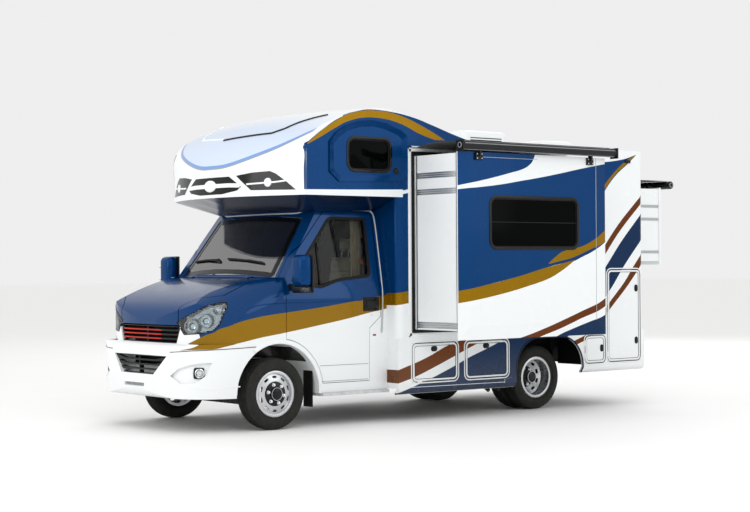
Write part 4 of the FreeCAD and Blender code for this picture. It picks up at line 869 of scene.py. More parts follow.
def door_skin_y(z):
    """How far out the cab door's skin stands at a height."""
    for (z0, y0), (z1, y1) in zip(SKIN_LEAN, SKIN_LEAN[1:]):
        if z <= z1:
            return y0 + (y1 - y0) * (z - z0) / (z1 - z0)
    return SKIN_LEAN[-1][1]


def door_seal(bm):
    """Rubber round the door window, on the leaning skin."""
    frame_of(bm, sheet_from(bm, [(x, 0.9, z) for x, z in DOOR_WINDOW], 0.050), 0.030, 3)
    for v in bm.verts:
        v.co.y = door_skin_y(v.co.z) - 0.012
    thicken(bm, (0, 0.016, 0))
    soften(bm, 0.003)


def door_divider(bm):
    """Upright bar between the fixed and the moving pane."""
    heights = [1.362 + 0.668 * count / 8 for count in range(9)]
    for low, high in zip(heights, heights[1:]):
        box(bm, -0.545, -0.525, 0.0, 0.016, low, high)
    for v in bm.verts:
        v.co.y += door_skin_y(v.co.z) - 0.030


def door_line(bm, text):
    """Fine moulded line along the door."""
    line = traced(text, CAB_SKIN, SIDEWAYS)
    for first, second in zip(line, line[1:]):
        box(bm, second.x, first.x, 0.997, 1.0015, first.z - 0.0025, first.z + 0.0025)
    bmesh.ops.remove_doubles(bm, verts=bm.verts[:], dist=WELD)


def drawn_in(bm, least_z, deepest, toward_z, share_y, share_z=0.0):
    """Narrows a mirror's shell towards its front."""
    for v in bm.verts:
        if v.co.z > least_z:
            ahead = ((v.co.x + 0.192) / 0.122) ** 2 if deepest else (1.0 if v.co.x > -0.165 else 0.0)
            v.co.y += (1.190 - v.co.y) * share_y * ahead
            v.co.z += (toward_z - v.co.z) * share_z * ahead


def make_cab_doors():
    """Seals, handles, locks, lines and mirrors of the cab doors, and small trims and lamps behind them."""
    door = {"body": "cab_door_"}
    pair("door_window_seal", rubber, (door_seal,), sharp=40, **door)
    pair("door_window_divider", rubber, (door_divider,), sharp=40, **door)
    pair("door_handle", black_plastic, (boxes, "-1232 -1030 998 1003 1116 1254 2.2"), (soften, 0.001),
         (boxes, "-1085 -1038 998 1012 1122 1248 4 3, -1224 -1185 998 1012 1122 1248 4 3, "
                 "-1200 -1060 1006 1022 1150 1222 7 3"), **door)
    pair("door_lock", chrome, (turned, drawn("0 4, 7 4, 11 3, 12 -1"), (-1.137, 1.000, 1.075), (0, 1, 0), 24),
         (boxes, "-1138.5 -1135.5 1003 1004.5 1069 1081"), **door)
    pair("door_line_upper", grey_plastic, (door_line, "-490 1000 596, -1090 1000 594"), **door)
    pair("door_line_lower", grey_plastic, (door_line, "-470 1000 442, -1090 1000 442"), **door)
    pair("rear_sill_plate", white_paint, (plate, oblong("Y", 0.999, -1.120, -1.225, 0.770, 0.893), 0.012,
                                          (0, 0.003, 0), 0.001))
    pair("side_reflector", lens_red, (boxes, "-1190 -1150 1001 1005 868 884 1.5"))
    pair("tail_lamp_tray", black_plastic, (boxes, "-4950 -4938 960 1090 1000 1330 4"))
    for label, sizes, finish in (("red", "1190 1324", lens_red), ("amber", "1090 1186", lens_amber),
                                 ("clear", "1006 1086", lens_clear)):
        pair("tail_lamp_" + label, finish, (boxes, "-4962 -4949 966 1084 %s 6 3" % sizes))

    # The wing's crease and the door's meet at the door gap.
    for label, body, text in (
            ("wing", "chassis", "453 1000 1047, 420 1000 1095, 381 1000 1132, 330 1000 1165, 263 1000 1190, "
                                "180 1000 1203, 98 1000 1208, -80 1000 1212"),
            ("door", "cab_door_", "-105 1000 1213, -617 1000 1219, -1020 1000 1226")):
        for side, end in SIDES:
            bar("crease_" + label + "_" + end, traced(text, CAB_SKIN, SIDEWAYS, -0.0035), 0.0065, blue_paint,
                body + end if body[-1] == "_" else body, side)

    pair("mirror_shell", blue_paint, (boxes, "-192 -70 1082 1298 1366 1680 50 6"),
         (drawn_in, 0.0, True, 1.510, 0.16, 0.10), sharp=60, old="mirror_", **door)
    pair("mirror_foot", black_plastic,
         (boxes, "-204 -184 1080 1300 1312 1678 9 3, -190 -84 1086 1292 1312 1378 22 4, "
                 "-160 -74 1090 1290 1427 1433 1 1, -160 -74 1090 1290 1557 1563 1 1"),
         (drawn_in, 1.40, False, 0.0, 0.08),
         (boxes, "-190 -130 958 1100 1338 1398 14 3, -205 -115 955 972 1325 1420 6 2"), sharp=50, **door)
    for label, z0, z1 in (("main", 1.448, 1.664), ("wide", 1.330, 1.436)):
        pair("mirror_glass_" + label, mirror_silver,
             (plate, oblong("X", -0.2045, 1.094, 1.286, z0, z1), 0.020, (0.004, 0, 0)), **door)
    pair("mirror_signal", lens_clear, (boxes, "-150 -80 1236 1297 1326 1366 10 3"), **door)
    pair("mirror_signal_bulb", lens_amber, (boxes, "-130 -96 1256 1290 1336 1356 8 3"), **door)


SCREEN_OUT = Vector((0.8036, 0, 0.5952))
SCREEN_LEAN = 0.7408
SCREEN_FOOT = 1.504


def screen_place(y, z, lift):
    """Place on the windscreen's outer face, lifted off it."""
    spot = on_skin(Vector((-0.25, y, z)), ("fixed_glass",), -SCREEN_OUT)
    return (spot or Vector(((1.46 - z) * SCREEN_LEAN, y, z))) + SCREEN_OUT * lift


def screen_border(bm):
    """Black printed border round the windscreen."""
    corners = drawn("800 1496, -800 1496, -712 2062, 712 2062")
    frame_of(bm, sheet_from(bm, [((1.46 - z) * SCREEN_LEAN, y, z) for y, z in corners], 0.050), 0.050, 7)
    for v in bm.verts:
        v.co = on_skin(v.co, ("fixed_glass",), -SCREEN_OUT, 0.0030) or v.co


def make_screen_trims():
    """Wipers parked at the foot of the windscreen, its border, the inside mirror and a plain card."""
    for end, start, stop, foot, elbow in (("left", (-0.030, 1.545), (0.560, 1.512), 0.575, (0.330, 1.526)),
                                          ("right", (-0.700, 1.550), (-0.190, 1.536), -0.150, (-0.420, 1.542))):
        blade = [screen_place(*(a + (b - a) * k / 6 for a, b in zip(start, stop)), 0.012) for k in range(7)]
        bar("wiper_blade_" + end, blade, 0.010, rubber)
        arm = [screen_place(*place) for place in ((foot, SCREEN_FOOT, 0.012), (foot - 0.05, 1.512, 0.026),
                                                  (*elbow, 0.026))]
        bar("wiper_arm_" + end, arm, 0.006, black_plastic)
        piece("wiper_pivot_" + end, black_plastic,
              (turned, drawn("0 16, 8 15, 12 10, 13 -6"), screen_place(foot, SCREEN_FOOT, 0.0), SCREEN_OUT, 24))
    piece("windscreen_border", gloss_black, (screen_border,), sharp=60)
    piece("inside_mirror", black_plastic,
          (boxes, "-520 -490 -125 125 1905 1985 12 4, -500 -440 -30 30 1960 2050 10 3"))
    piece("plain_card", card, (plate, drawn("-140 80 1421.5, -150 330 1421.5, -245 320 1440, -235 70 1440"), 0.004,
                               (0, 0, 0.001)))


# ---------------------------------------------------------------- house body and slide-outs

WINDOW_ROUND = 0.085
# Name, x and z from and to, side, and the lock's x, z and whether it stands upright.
LOCKERS = (("locker_door_1", (-2.112, -1.514, 0.400, 0.779), 1, ((-1.798, 0.722, False),)),
           ("locker_door_2", (-2.823, -2.226, 0.400, 0.779), 1, ((-2.512, 0.728, False),)),
           ("locker_door_3", (-4.297, -3.985, 0.486, 0.779), 1, ((-4.245, 0.642, True),)),
           ("locker_door_4", (-4.867, -4.345, 0.490, 1.503), 1, ((-4.806, 1.297, True), (-4.806, 0.711, True))),
           ("locker_door_5", (-2.112, -1.514, 0.400, 0.779), -1, ((-1.798, 0.722, False),)))
BERTH_PRESSING = drawn("""-476 2480, -476 2770, -560 2862, -680 2932, -840 2982, -1011 2998, -1190 2975, -1368 2915,
    -1450 2860, -1450 2470, -1380 2410, -590 2385""")


def grown(sizes, by):
    """Outline made larger all round, or smaller if by is below 0."""
    x0, x1, z0, z1 = sizes
    return x0 - by, x1 + by, z0 - by, z1 + by


def latch(bm, x, z, y, upright):
    """Oval compartment lock: dished plate, paddle and key barrel."""
    half_x, half_z = (0.026, 0.040) if upright else (0.042, 0.027)
    part = bmesh.new()
    plate(part, oblong("Y", y, x - half_x, x + half_x, z - half_z, z + half_z), min(half_x, half_z) * 0.95,
          (0, 0.006, 0), 0.002, 8)
    joined(bm, part)
    paddle = half_x * 0.55
    box(bm, x - paddle, x + paddle, y + 0.004, y + 0.014, z - half_z * 0.6, z + half_z * 0.45, 0.004, 3)
    turned(bm, drawn("0 12, 6 12, 8 10, 8.5 4"), (x, y, z + half_z * (0.72 if upright else 0.0)), (0, 1, 0), 20)


def make_openings():
    """Frames, rubbers, seals and locks of windows and compartment doors."""
    berth = (-1.250, -0.703, 2.493, 2.823)
    for end, sizes, y, side, body in (
            ("slide", (-3.183, -1.946, 1.727, 2.246), slide_face_y, 1, "side_slide"),
            ("berth_left", berth, house_half, 1, "chassis"), ("berth_right", berth, house_half, -1, "chassis"),
            ("rear_right", (-4.450, -3.350, 1.730, 2.250), house_half, -1, "chassis"),
            ("galley_right", (-2.150, -1.600, 1.800, 2.250), house_half, -1, "chassis")):
        x0, x1, z0 = sizes[:3]
        piece("window_frame_" + end, gloss_black,
              (side_ring, *grown(sizes, 0.012), y - 0.002, WINDOW_ROUND + 0.012, 0.030, 0.007),
              side=side, body=body, sharp=40)
        rail = [(box, x0 + 0.020, x1 - 0.020, y - 0.016, y - 0.008, z0 + 0.262, z0 + 0.270, 0.001, 1)]
        piece("window_rubber_" + end, rubber,
              (side_ring, *grown(sizes, -0.016), y - 0.016, WINDOW_ROUND - 0.016, 0.012, 0.012),
              *(rail if x1 - x0 > 0.8 else []), side=side, body=body, sharp=40)
    skin_y = house_half - 0.001
    for name, sizes, side, locks in LOCKERS:
        for label, finish, more, *ring, body in (
                ("_frame", white_paint, -0.004, 0.050, 0.017, 0.006, name),
                ("_inner_seal", rubber, -0.021, 0.036, 0.005, 0.003, 0, name),
                ("_outer_seal", rubber, 0.010, 0.060, 0.007, 0.003, 0, "chassis"),
                ("_wall_frame", white_paint, 0.022, 0.070, 0.012, 0.005, "chassis")):
            piece(name + label, finish, (side_ring, *grown(sizes, more), skin_y, *ring),
                  side=side, body=body, sharp=40)
        piece(name + "_latch", black_plastic, *[(latch, x, z, skin_y, upright) for x, z, upright in locks],
              side=side, body=name, sharp=40)


def make_slide_trims():
    """Ribbed rails on the slide-out's ends, its corner posts, and the thin trims of its face."""
    slide = {"body": "side_slide", "sharp": 40}
    for label, x, out in (("front", -1.550, 1), ("rear", -3.589, -1)):
        ribs = []
        for z0, third in ((2.432, 0.020), (2.268, 0.020), (0.940, 0.065 / 3)):
            for low in (z0, z0 + third, z0 + 2 * third):
                section = [(0, 0, low), (out * 0.004, 0, low + third * 0.15), (out * 0.004, 0, low + third * 0.80),
                           (0, 0, low + third * 0.95)]
                ribs.append((profile_along, section, (x - out * 0.001, 1.215, 0), (x - out * 0.001, 1.838, 0)))
        piece("slide_rails_" + label, aluminium, *ribs, **slide)
        piece("slide_posts_" + label, aluminium,
              *[(box, *sorted((x - out * 0.030, x + out * 0.003)), y0, y1, 0.930, 2.660, 0.0012)
                for y0, y1 in ((1.814, 1.841), (1.214, 1.232))], **slide)
    piece("slide_face_trims", aluminium, (boxes, "-3452 -3446 1866 1872.5 990 2672 1 1, "
                                                 "-2600 -1860 1866 1872.5 2628 2633 1 1"), **slide)
    piece("slide_opening_seal", rubber,
          (side_ring, -3.634, -1.506, 0.888, 2.712, house_half - 0.002, 0.020, 0.034, 0.016, 0.004), sharp=40)
    piece("slide_opening_frame", white_paint,
          (side_ring, -3.674, -1.466, 0.848, 2.748, house_half - 0.001, 0.012, 0.040, 0.006, 0.001), sharp=40)


def make_topper_parts(name, start, end, body, most, bead, screws, screw_axis):
    """Roller tube's beads, its end caps and rings, and the bracket's screws."""
    start, end = Vector(start), Vector(end)
    along = (end - start).normalized()
    beads = []
    for turn in range(4):
        spoke = Matrix.Rotation(math.radians(90 * turn + 20), 4, along) @ along.orthogonal().normalized()
        section = [spoke * bead + along.cross(spoke) * a + spoke * b for a, b in drawn("-5 0, -4 2.2, 4 2.2, 5 0")]
        beads.append((profile_along, section, start + along * 0.02, end - along * 0.02))
    caps, rings = [], []
    for spot, out in ((start, -1), (end, 1)):
        rim = drawn("0 18, 18 17, 30 12") + [(most - 0.002, 0.010), (most, 0.002), (most - 0.003, -0.004)]
        caps.append((turned, [(r, out * y) for r, y in rim], spot, along, 40))
        rings.append((turned, [(r, out * y) for r, y in drawn("20 17, 22 19.5, 27 18.5, 30 11")], spot, along, 40))
    heads = [(turned, drawn("0 7, 6 6, 8 1, 8 -2"), spot, screw_axis, 16) for spot in screws]
    for label, finish, steps in (("_tube_beads", grey_plastic, beads), ("_end_caps", gloss_black, caps),
                                 ("_end_rings", grey_plastic, rings), ("_screws", wheel_steel, heads)):
        piece(name + label, finish, *steps, body=body, sharp=40)


def make_toppers():
    """Rollers, wall rails and the coated sheets between them."""
    offsets = [(a, b) for b in (-0.020, 0.022) for a in (-0.030, 0.030)]
    make_topper_parts("side_topper", (-1.530, 1.912, 2.735), (-3.680, 1.912, 2.735), "side_slide", 0.0490, 0.0455,
                      [(x + a, 1.892, 2.635 + b) for x in (-1.790, -3.349) for a, b in offsets], (0, 1, 0))
    make_topper_parts("rear_topper", (-5.700, -0.920, 2.490), (-5.700, 0.920, 2.490), "rear_slide", 0.0450, 0.0415,
                      [(-5.560, y + a, 2.395 + b) for y in (-0.700, 0.700) for a, b in offsets], (-1, 0, 0))
    piece("side_topper_rail", aluminium,
          (profile_along, drawn("0 1182 2744, 0 1200 2744, 0 1206 2752, 0 1204 2766, 0 1182 2772"),
           (-3.700, 0, 0), (-1.500, 0, 0)), sharp=40)
    piece("rear_topper_rail", aluminium,
          (profile_along, drawn("-4939 0 2500, -4958 0 2500, -4964 0 2510, -4960 0 2524, -4939 0 2530"),
           (0, -0.915, 0), (0, 0.915, 0)), sharp=40)

    side_box = (-1.575, -3.635, 1.197, 1.912, 2.757, 2.784)
    rear_box = (-0.870, 0.870, -4.954, -5.700, 2.514, 2.539)
    for name, (a0, a1, b0, b1, z0, z1), rail, axis, anchor, keep in (
            ("side", side_box, "house_wall_left", (0, 1, 0), (0, 1.197 + mid_y, 2.757), 0.105),
            ("rear", rear_box, "house_wall_rear", (1, 0, 0), (-4.954 + front_x, 0, 2.514), 0.25)):
        bm = bmesh.new()
        bmesh.ops.create_grid(bm, x_segments=60, y_segments=24, size=0.5)
        for v in bm.verts:
            a, b = v.co.x + 0.5, v.co.y + 0.5
            # It climbs from the rail, then lies level, so that it clears the roller when the slide-out is in.
            climb = min(1.0, b / 0.30)
            height = z0 + (z1 + 0.0008 - z0) * climb * climb * (3 - 2 * climb)
            height += 0.0016 * math.sin(math.pi * b) ** 2 * (1 + math.sin(math.pi * a * 14))
            along, out = a0 + (a1 - a0) * a, b0 + (b1 - b0) * b
            v.co = (along, out, height) if name == "side" else (out, along, height)
        bmesh.ops.recalc_face_normals(bm, faces=bm.faces[:])
        bmesh.ops.solidify(bm, geom=bm.faces[:], thickness=0.0012)
        sheet = finished("topper_sheet_" + name, bm, awning_cloth, "chassis", 60, "topper_fabrics")
        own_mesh(sheet)


def berth_pressing(bm):
    """Pressed ridge round the berth window."""
    outline = [(x, 1.3, z) for x, z in BERTH_PRESSING + BERTH_PRESSING[:1]]
    face = sheet_from(bm, spaced(outline, 0.05)[:-1])
    for width in (0.022, 0.058):
        inset(bm, face, width)
    inner = set(face.verts)
    crest = {e.other_vert(v) for v in inner for e in v.link_edges} - inner
    bmesh.ops.delete(bm, geom=[face], context="FACES")
    for v in bm.verts:
        spot = on_skin(v.co, ("overcab_cheeks",), SIDEWAYS) or Vector((v.co.x, house_half, v.co.z))
        v.co = spot + Vector((0, 0.016 if v in crest else 0.001, 0))


def make_house_trims():
    """Sill line, rear arch lips, markers and the berth cheeks' trims."""
    piece("sill_pinstripe", white_paint,
          (ribbon, "-1386 1300 343, -2779 1300 335", (0, 0, 0.005), ("skirt_left",), SIDEWAYS, 0.001, 0.002, 0.06),
          *[(ribbon, "%d 1300 300, %d 1300 395" % (x, x), (0.004, 0, 0), ("skirt_left",), SIDEWAYS, 0.001, 0.002)
            for x in (-1386, -2779)])
    turns = [math.radians(angle) for angle in range(0, 91, 10)]
    corner_x, corner_z, radius = -3.280, 0.455, 0.334
    front = [(-2.946, 0.296), (-2.946, 0.440)]
    front += [(corner_x + radius * math.cos(a), corner_z + radius * math.sin(a)) for a in turns]
    # The arch's rear half mirrors the front one about the axle, and its foot stands on the skirt's edge.
    edge = front + [(-2 * wheelbase - x, z) for x, z in reversed(front)]
    edge[-1] = (-3.954, 0.390)
    spots = [Vector((x, 1.15, z)) for x, z in edge]
    line = [on_skin(spot, ("skirt_left",), SIDEWAYS, -0.002) or spot for spot in spots]
    bar("rear_arch_lip_left", line, 0.009, under_paint)
    bar("rear_arch_lip_right", line, 0.009, white_paint, side=-1)
    pair("berth_marker", gloss_black, (turned, drawn("0 26, 12 25, 20 18, 23 10, 31 6, 32 -2"),
                                       (-1.313, house_half, 2.508), (0, 1, 0), 32), sharp=40)
    pair("rear_marker", gloss_black, (boxes, "-4720 -4640 1181 1199 2700 2735 6 3"), sharp=40)
    pair("berth_pressing", blue_paint, (berth_pressing,), sharp=25)
    pair("cheek_joint_strip", grey_plastic, (ribbon, "-196 1400 2290, -196 1400 2720", (-0.012, 0, 0),
                                             ("overcab_cap", "overcab_cheeks"), SIDEWAYS, 0.0015, 0.003))


# ---------------------------------------------------------------- seats, curtains and belts

def applied(made):
    """The object's mesh with its modifiers worked in."""
    return bpy.data.meshes.new_from_object(made.evaluated_get(bpy.context.evaluated_depsgraph_get()))


PAD_VOXEL, PAD_PRESSURE, PAD_FRAMES = 0.010, 4, 20
CHANNEL_DEEP, CHANNEL_WIDE = 0.009, 0.010


def blown_pad(name, size, cap):
    """Cushion: a rounded block blown up as cloth, no point further than the cap, then made finer."""
    bm = bmesh.new()
    box(bm, *[sign * length / 2 for length in size for sign in (-1, 1)], min(size) * 0.32, 4)
    mesh = bpy.data.meshes.new(name)
    bm.to_mesh(mesh)
    bm.free()
    pad = placed(name, mesh)
    voxels = pad.modifiers.new("voxels", "REMESH")
    voxels.mode, voxels.voxel_size = "VOXEL", PAD_VOXEL
    grid = applied(pad)
    pad.modifiers.clear()
    pad.data = grid
    cloth = pad.modifiers.new("blow", "CLOTH").settings
    cloth.quality, cloth.use_pressure, cloth.uniform_pressure_force = 4, True, PAD_PRESSURE
    cloth.effector_weights.gravity = 0
    for count in range(1, PAD_FRAMES + 1):
        bpy.context.scene.frame_set(count)
    full = applied(pad)
    for after, before in zip(full.vertices, grid.vertices):
        step = after.co - before.co
        after.co = before.co + step * min(1.0, cap / max(step.length, 1e-6))
    bpy.context.scene.frame_set(1)
    pad.modifiers.clear()
    pad.data = full
    fine = pad.modifiers.new("fine", "SUBSURF")
    fine.levels = fine.render_levels = 1
    mesh = applied(pad)
    bpy.data.objects.remove(pad)
    return mesh


def make_seats():
    """Two padded seats with sewn channels, on moulded bases with a lever."""
    # Mesh, place (x, z), lean, and each channel's axis and place on the pad.
    pads = {"cushion": (blown_pad("seat_pad", (0.460, 0.450, 0.092), 0.024), (-0.935, 1.000), 0.0,
                        ((1, -0.15), (1, 0.15), (0, -0.05))),
            "back": (blown_pad("back_pad", (0.085, 0.440, 0.615), 0.024), (-1.204, 1.372), -10.3,
                     ((1, -0.15), (1, 0.15), (2, -0.12), (2, 0.12))),
            "headrest": (blown_pad("head_pad", (0.040, 0.215, 0.142), 0.022), (-1.262, 1.787), -6.0, ())}
    for side, end in SIDES:
        for label, (mesh, (x, z), lean, channels) in pads.items():
            bm = bmesh.new()
            bm.from_mesh(mesh)
            bm.normal_update()
            for axis, place in channels:
                for v in bm.verts:
                    v.co -= v.normal * CHANNEL_DEEP * math.exp(-((v.co[axis] - place) / CHANNEL_WIDE) ** 2)
            turn = Matrix.Translation((x, side * seat_y, z)) @ Matrix.Rotation(math.radians(lean), 4, "Y")
            bmesh.ops.transform(bm, matrix=turn, verts=bm.verts)
            finished("seat_" + label + "_" + end, bm, seat_cloth, "chassis", 60, "cab_seats")
        for y in (385, 495):
            bar("headrest_post_%d_%s" % (y, end), drawn("-1238 %d 1660, -1258 %d 1740" % (y, y)), 0.006, chrome,
                side=side, smooth=False)
    pair("seat_base", dash_plastic, (boxes, "-1170 -710 260 620 665 760 15 3, -1140 -740 290 590 755 935 20 3, "
                                            "-1050 -860 655 672 900 930 7 3"), old="cab_seats")


CURTAIN_WIDE, CURTAIN_HIGH, PLEATS, PLEAT_DEEP = 0.190, 0.648, 6, 0.015


def fold(a, b=0.5):
    """How far the curtain stands out, over its width and height."""
    return PLEAT_DEEP * (1.15 - 0.3 * b) * math.sin(2 * math.pi * PLEATS * a + 0.5 * math.sin(3 * b))


def make_cab_soft():
    """Pleated curtains on their rails behind the door windows, and belts with orange tongues."""
    pair("curtain_rail", black_plastic, (boxes, "-1275 -1035 739 751 2040 2052 3, -1066 -1054 740 750 2046 2105 2, "
                                                "-1256 -1244 740 750 2046 2105 2"))
    for side, end in SIDES:
        bm = bmesh.new()
        bmesh.ops.create_grid(bm, x_segments=110, y_segments=20, size=0.5)
        for v in bm.verts:
            a, b = v.co.x + 0.5, v.co.y + 0.5
            v.co = (-1.065 - CURTAIN_WIDE * a, 0.745 + fold(a, b), 1.395 + CURTAIN_HIGH * b)
        bmesh.ops.recalc_face_normals(bm, faces=bm.faces[:])
        bmesh.ops.solidify(bm, geom=bm.faces[:], thickness=0.001)
        on_right(bm, side)
        curtain = finished("cab_curtain_" + end, bm, curtain_cloth, "chassis", 60)
    strap = drawn("-1223 784 1800, -1177 784 1800, -1150 784 1050, -1196 784 1050")
    pair("belt", black_plastic, (plate, strap, 0.0, (0, 0.0015, 0)), (boxes, "-1225 -1175 778 792 1790 1850 4"))
    pair("belt_tongue", signal_orange, (boxes, "-1196 -1156 780 794 1585 1625 4 3"))


# ---------------------------------------------------------------- rear, right side, roof and overcab band

def make_rear():
    """Ribs of the rear slide-out, plate place, reflectors, brake lamp, entry door, roof and steps."""
    piece("rear_slide_rails", aluminium, *[(box, -5.505, -4.975, 0.899, 0.907, z, z + 0.012, 0.002, 1)
                                           for z in (2.222, 2.240, 2.072, 2.090, 1.692, 1.710)], (both_sides,),
          body="rear_slide")
    piece("rear_slide_face_lines", aluminium,
          (boxes, "-5542.5 -5536 -890 890 1584 1590 1 1, -5542.5 -5536 -890 890 2424 2430 1 1, "
                  "-5542.5 -5536 -890 -884 1584 2430 1 1, -5542.5 -5536 884 890 1584 2430 1 1"), body="rear_slide")
    piece("rear_opening_seal", rubber,
          (boxes, "-4952 -4938 -960 960 1500 1545 4, -4952 -4938 -960 960 2470 2498 4, "
                  "-4952 -4938 -960 -925 1500 2498 4, -4952 -4938 925 960 1500 2498 4"))
    piece("high_brake_lamp", lens_red, (boxes, "-4968 -4938 -200 200 2640 2670 6 3"))
    piece("rear_reflectors", lens_red, (boxes, "-4981 -4972 -990 -870 560 600 3, -4981 -4972 870 990 560 600 3"))
    piece("plate_place", black_plastic,
          (plate, oblong("X", -4.938, -0.270, 0.270, 0.900, 1.060), 0.020, (-0.010, 0, 0), 0.003),
          (boxes, "-4975 -4940 -90 90 1066 1090 6"))

    leaf = {"body": "entry_door", "side": -1, "sharp": 40}
    piece("entry_window_frame", gloss_black,
          (side_ring, -2.790, -2.484, 1.760, 2.300, 1.186, 0.060, 0.028, 0.008), **leaf)
    piece("entry_panel_line", grey_plastic,
          (side_ring, -2.860, -2.414, 0.970, 1.640, 1.186, 0.050, 0.008, 0.0035), **leaf)
    piece("entry_window_pane", house_glass,
          (plate, oblong("Y", 1.187, -2.770, -2.504, 1.780, 2.280), 0.040, (0, 0.004, 0)), **leaf)
    piece("entry_handle", black_plastic, *[(latch, -2.890, z, 1.188, True) for z in (1.500, 1.380)], **leaf)
    piece("entry_wall_frame", aluminium, (side_ring, -3.004, -2.270, 0.850, 2.684, 1.181, 0.030, 0.026, 0.006),
          side=-1, sharp=40)
    piece("entry_sill", aluminium, (boxes, "-2980 -2290 1120 1188 832 852 4"),
          *[(box, -2.960, -2.310, 1.128 + 0.012 * k, 1.134 + 0.012 * k, 0.850, 0.855, 0.001, 1) for k in range(5)],
          side=-1, sharp=40)

    fine = (("roof_units",), SIDEWAYS, 0.002, 0.003, 0.06)
    piece("cooler_louvres", gloss_black, *[(ribbon, "-3560 600 %d, -3090 600 %d" % (z, z), (0, 0, 0.010), *fine)
                                           for z in (2895, 2920, 2945, 2970)], (both_sides,))
    piece("vent_seam", rubber, (ribbon, "-4620 600 2925, -4180 600 2925", (0, 0, 0.008), *fine))
    piece("roof_seams", white_paint, *[(box, x - 0.015, x + 0.015, -1.100, 1.100, 2.838, 2.8415, 0.0012, 1)
                                       for x in (-1.60, -2.35, -3.86, -4.80)])
    piece("running_board_ribs", step_grey,
          *[(box, -1.310, -0.520, 0.835 + 0.024 * k, 0.847 + 0.024 * k, 0.328, 0.334, 0.002) for k in range(8)],
          (both_sides,))


def apart(bm, tool, *values):
    """A step made on a mesh of its own and then added."""
    part = bmesh.new()
    tool(part, *values)
    joined(bm, part)


def centre_boss(bm, spot):
    """Oval boss on the centre plane."""
    turned(bm, drawn("0 14, 30 14, 48 11, 57 6, 60 -12"), spot, (1, 0, 0), 48)
    bmesh.ops.scale(bm, vec=(1, 1.8, 1), verts=bm.verts[:])


def make_band():
    """Black panels with white bars and plain bosses, and on the nose's top a line that is black on the left as
    painted shadow in a panel's edge gap, and white on the right.
    """
    cap = ("overcab_cap",)
    half = drawn("200 299 2452, 200 402 2392, 200 470 2345, 200 417 2311, 200 198 2282")
    piece("band_centre", gloss_black,
          (clipped_sheet, half + [(x, -y, z) for x, y, z in reversed(half)], BACKWARDS, 40),
          (lay_on, "overcab_cap", BACKWARDS, 0.002), sharp=60)
    outer = drawn("""200 400 2456, 200 605 2480, 200 815 2487, 200 881 2460, 200 987 2385, 200 1087 2300,
        200 598 2308""")
    piece("band_outer", gloss_black, (clipped_sheet, outer, BACKWARDS, 40),
          (lay_on, "overcab_cap", BACKWARDS, 0.002), (both_sides,), sharp=60)
    spot, near = (on_skin(Vector((0.4, y, 2.378)), cap, BACKWARDS) for y in (0.796, 0.760))
    facing = (spot - near).cross(Vector((0, 0, 1))).normalized()
    fine = (cap, BACKWARDS, 0.007, 0.006, 0.02)
    piece("band_bars", white_paint,
          (apart, ribbon, "400 0 2346, 400 300 2346, 400 455 2340", (0, 0, 0.040), *fine),
          (apart, ribbon, "400 545 2360, 400 728 2366, 400 872 2371, 400 985 2381", (0, 0, 0.016), *fine),
          (apart, turned, drawn("0 14, 34 13, 42 9, 45 -6"), spot, facing, 40), (both_sides,),
          (apart, centre_boss, on_skin(Vector((0.4, 0, 2.366)), cap, BACKWARDS)), sharp=50)
    line = traced("""-108 -80 2837, -140 245 2856, -204 621 2869, -288 722 2910, -433 773 2977, -563 845 3023,
        -663 930 3049""", cap, Vector((-1, 0, -1.2)).normalized(), 0.001, 0.04)
    # Painted shadow: the black left half stands for the shade in a panel's edge gap. The right half is the same
    # line in white, where the gap shows no shade.
    bar("nose_moulding_left", line, 0.012, black_plastic)
    bar("nose_moulding_right", line[4:], 0.012, white_paint, side=-1)


# ---------------------------------------------------------------- studio, lights and camera

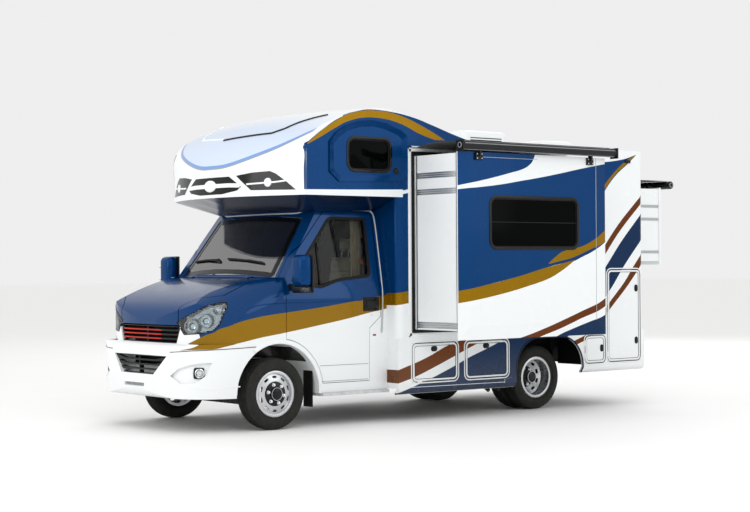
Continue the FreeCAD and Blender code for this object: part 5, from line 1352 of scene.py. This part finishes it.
def make_studio():
    """Matt white floor with a trace of unevenness, and soft lights."""
    material, tree = blank("matt_studio_floor")
    surface(tree, {"Base Color": patchy(tree, linear("#fcfcfb"), 1.0, 900, 0.985, 1.0), "Roughness": 0.7,
                   "Specular IOR Level": 0.2})
    bm = bmesh.new()
    bmesh.ops.create_grid(bm, x_segments=1, y_segments=1, size=120)
    mesh = bpy.data.meshes.new("studio_floor")
    bm.to_mesh(mesh)
    bm.free()
    mesh.materials.append(material)
    placed("studio_floor", mesh)

    world = bpy.data.worlds.new("studio_air")
    bpy.context.scene.world = world
    world.use_nodes = True
    back = world.node_tree.nodes["Background"]
    back.inputs["Color"].default_value = linear("#ffffff")
    back.inputs["Strength"].default_value = 0.86
    bpy.context.scene.view_settings.view_transform = "Standard"
    aim_height = 1.2
    for name, spot, size, watts in (("key", (8.0, 9.0, 10.0), 8.0, 380), ("side", (-6.0, 13.0, 6.0), 8.0, 190),
                                    ("front", (13.0, -2.0, 5.0), 6.0, 300), ("back", (-12.0, -9.0, 9.0), 8.0, 380)):
        lamp = bpy.data.lights.new(name + "_softbox", "AREA")
        lamp.shape = "SQUARE"
        lamp.size = size
        lamp.energy = watts
        away = Vector(spot) - Vector((0, 0, aim_height))
        turn = away.to_track_quat("Z", "Y").to_matrix().to_4x4()
        placed(name + "_softbox", lamp).matrix_world = Matrix.Translation(spot) @ turn


def make_camera():
    """Camera at the photograph's place, turned as it was."""
    spot = Vector((9.196 + front_x, 13.924 + mid_y, 1.572))
    yaw, pitch, roll = map(math.radians, (-128.773, 0.317, -0.344))
    focal_pixels, width_pixels = 1659, 750
    ahead = Vector((math.cos(yaw) * math.cos(pitch), math.sin(yaw) * math.cos(pitch), math.sin(pitch)))
    level = ahead.cross(Vector((0, 0, 1))).normalized()
    upright = level.cross(ahead)
    across = level * math.cos(roll) + upright * math.sin(roll)
    up = upright * math.cos(roll) - level * math.sin(roll)
    data = bpy.data.cameras.new("view")
    data.sensor_width = 36
    data.lens = 36 * focal_pixels / width_pixels
    data.clip_end = 400
    camera = placed("view", data)
    turn = Matrix((across, up, -ahead)).transposed().to_4x4()
    camera.matrix_world = Matrix.Translation(spot) @ turn
    bpy.context.scene.camera = camera


make_fixed_glass()
for make in (make_wheel_parts, make_headlamp):
    for side, end in SIDES:
        make(side, end)
for make in (make_front, make_cab_doors, make_screen_trims, make_openings, make_slide_trims, make_toppers,
             make_house_trims, make_seats, make_cab_soft, make_rear, make_band, make_studio, make_camera):
    make()
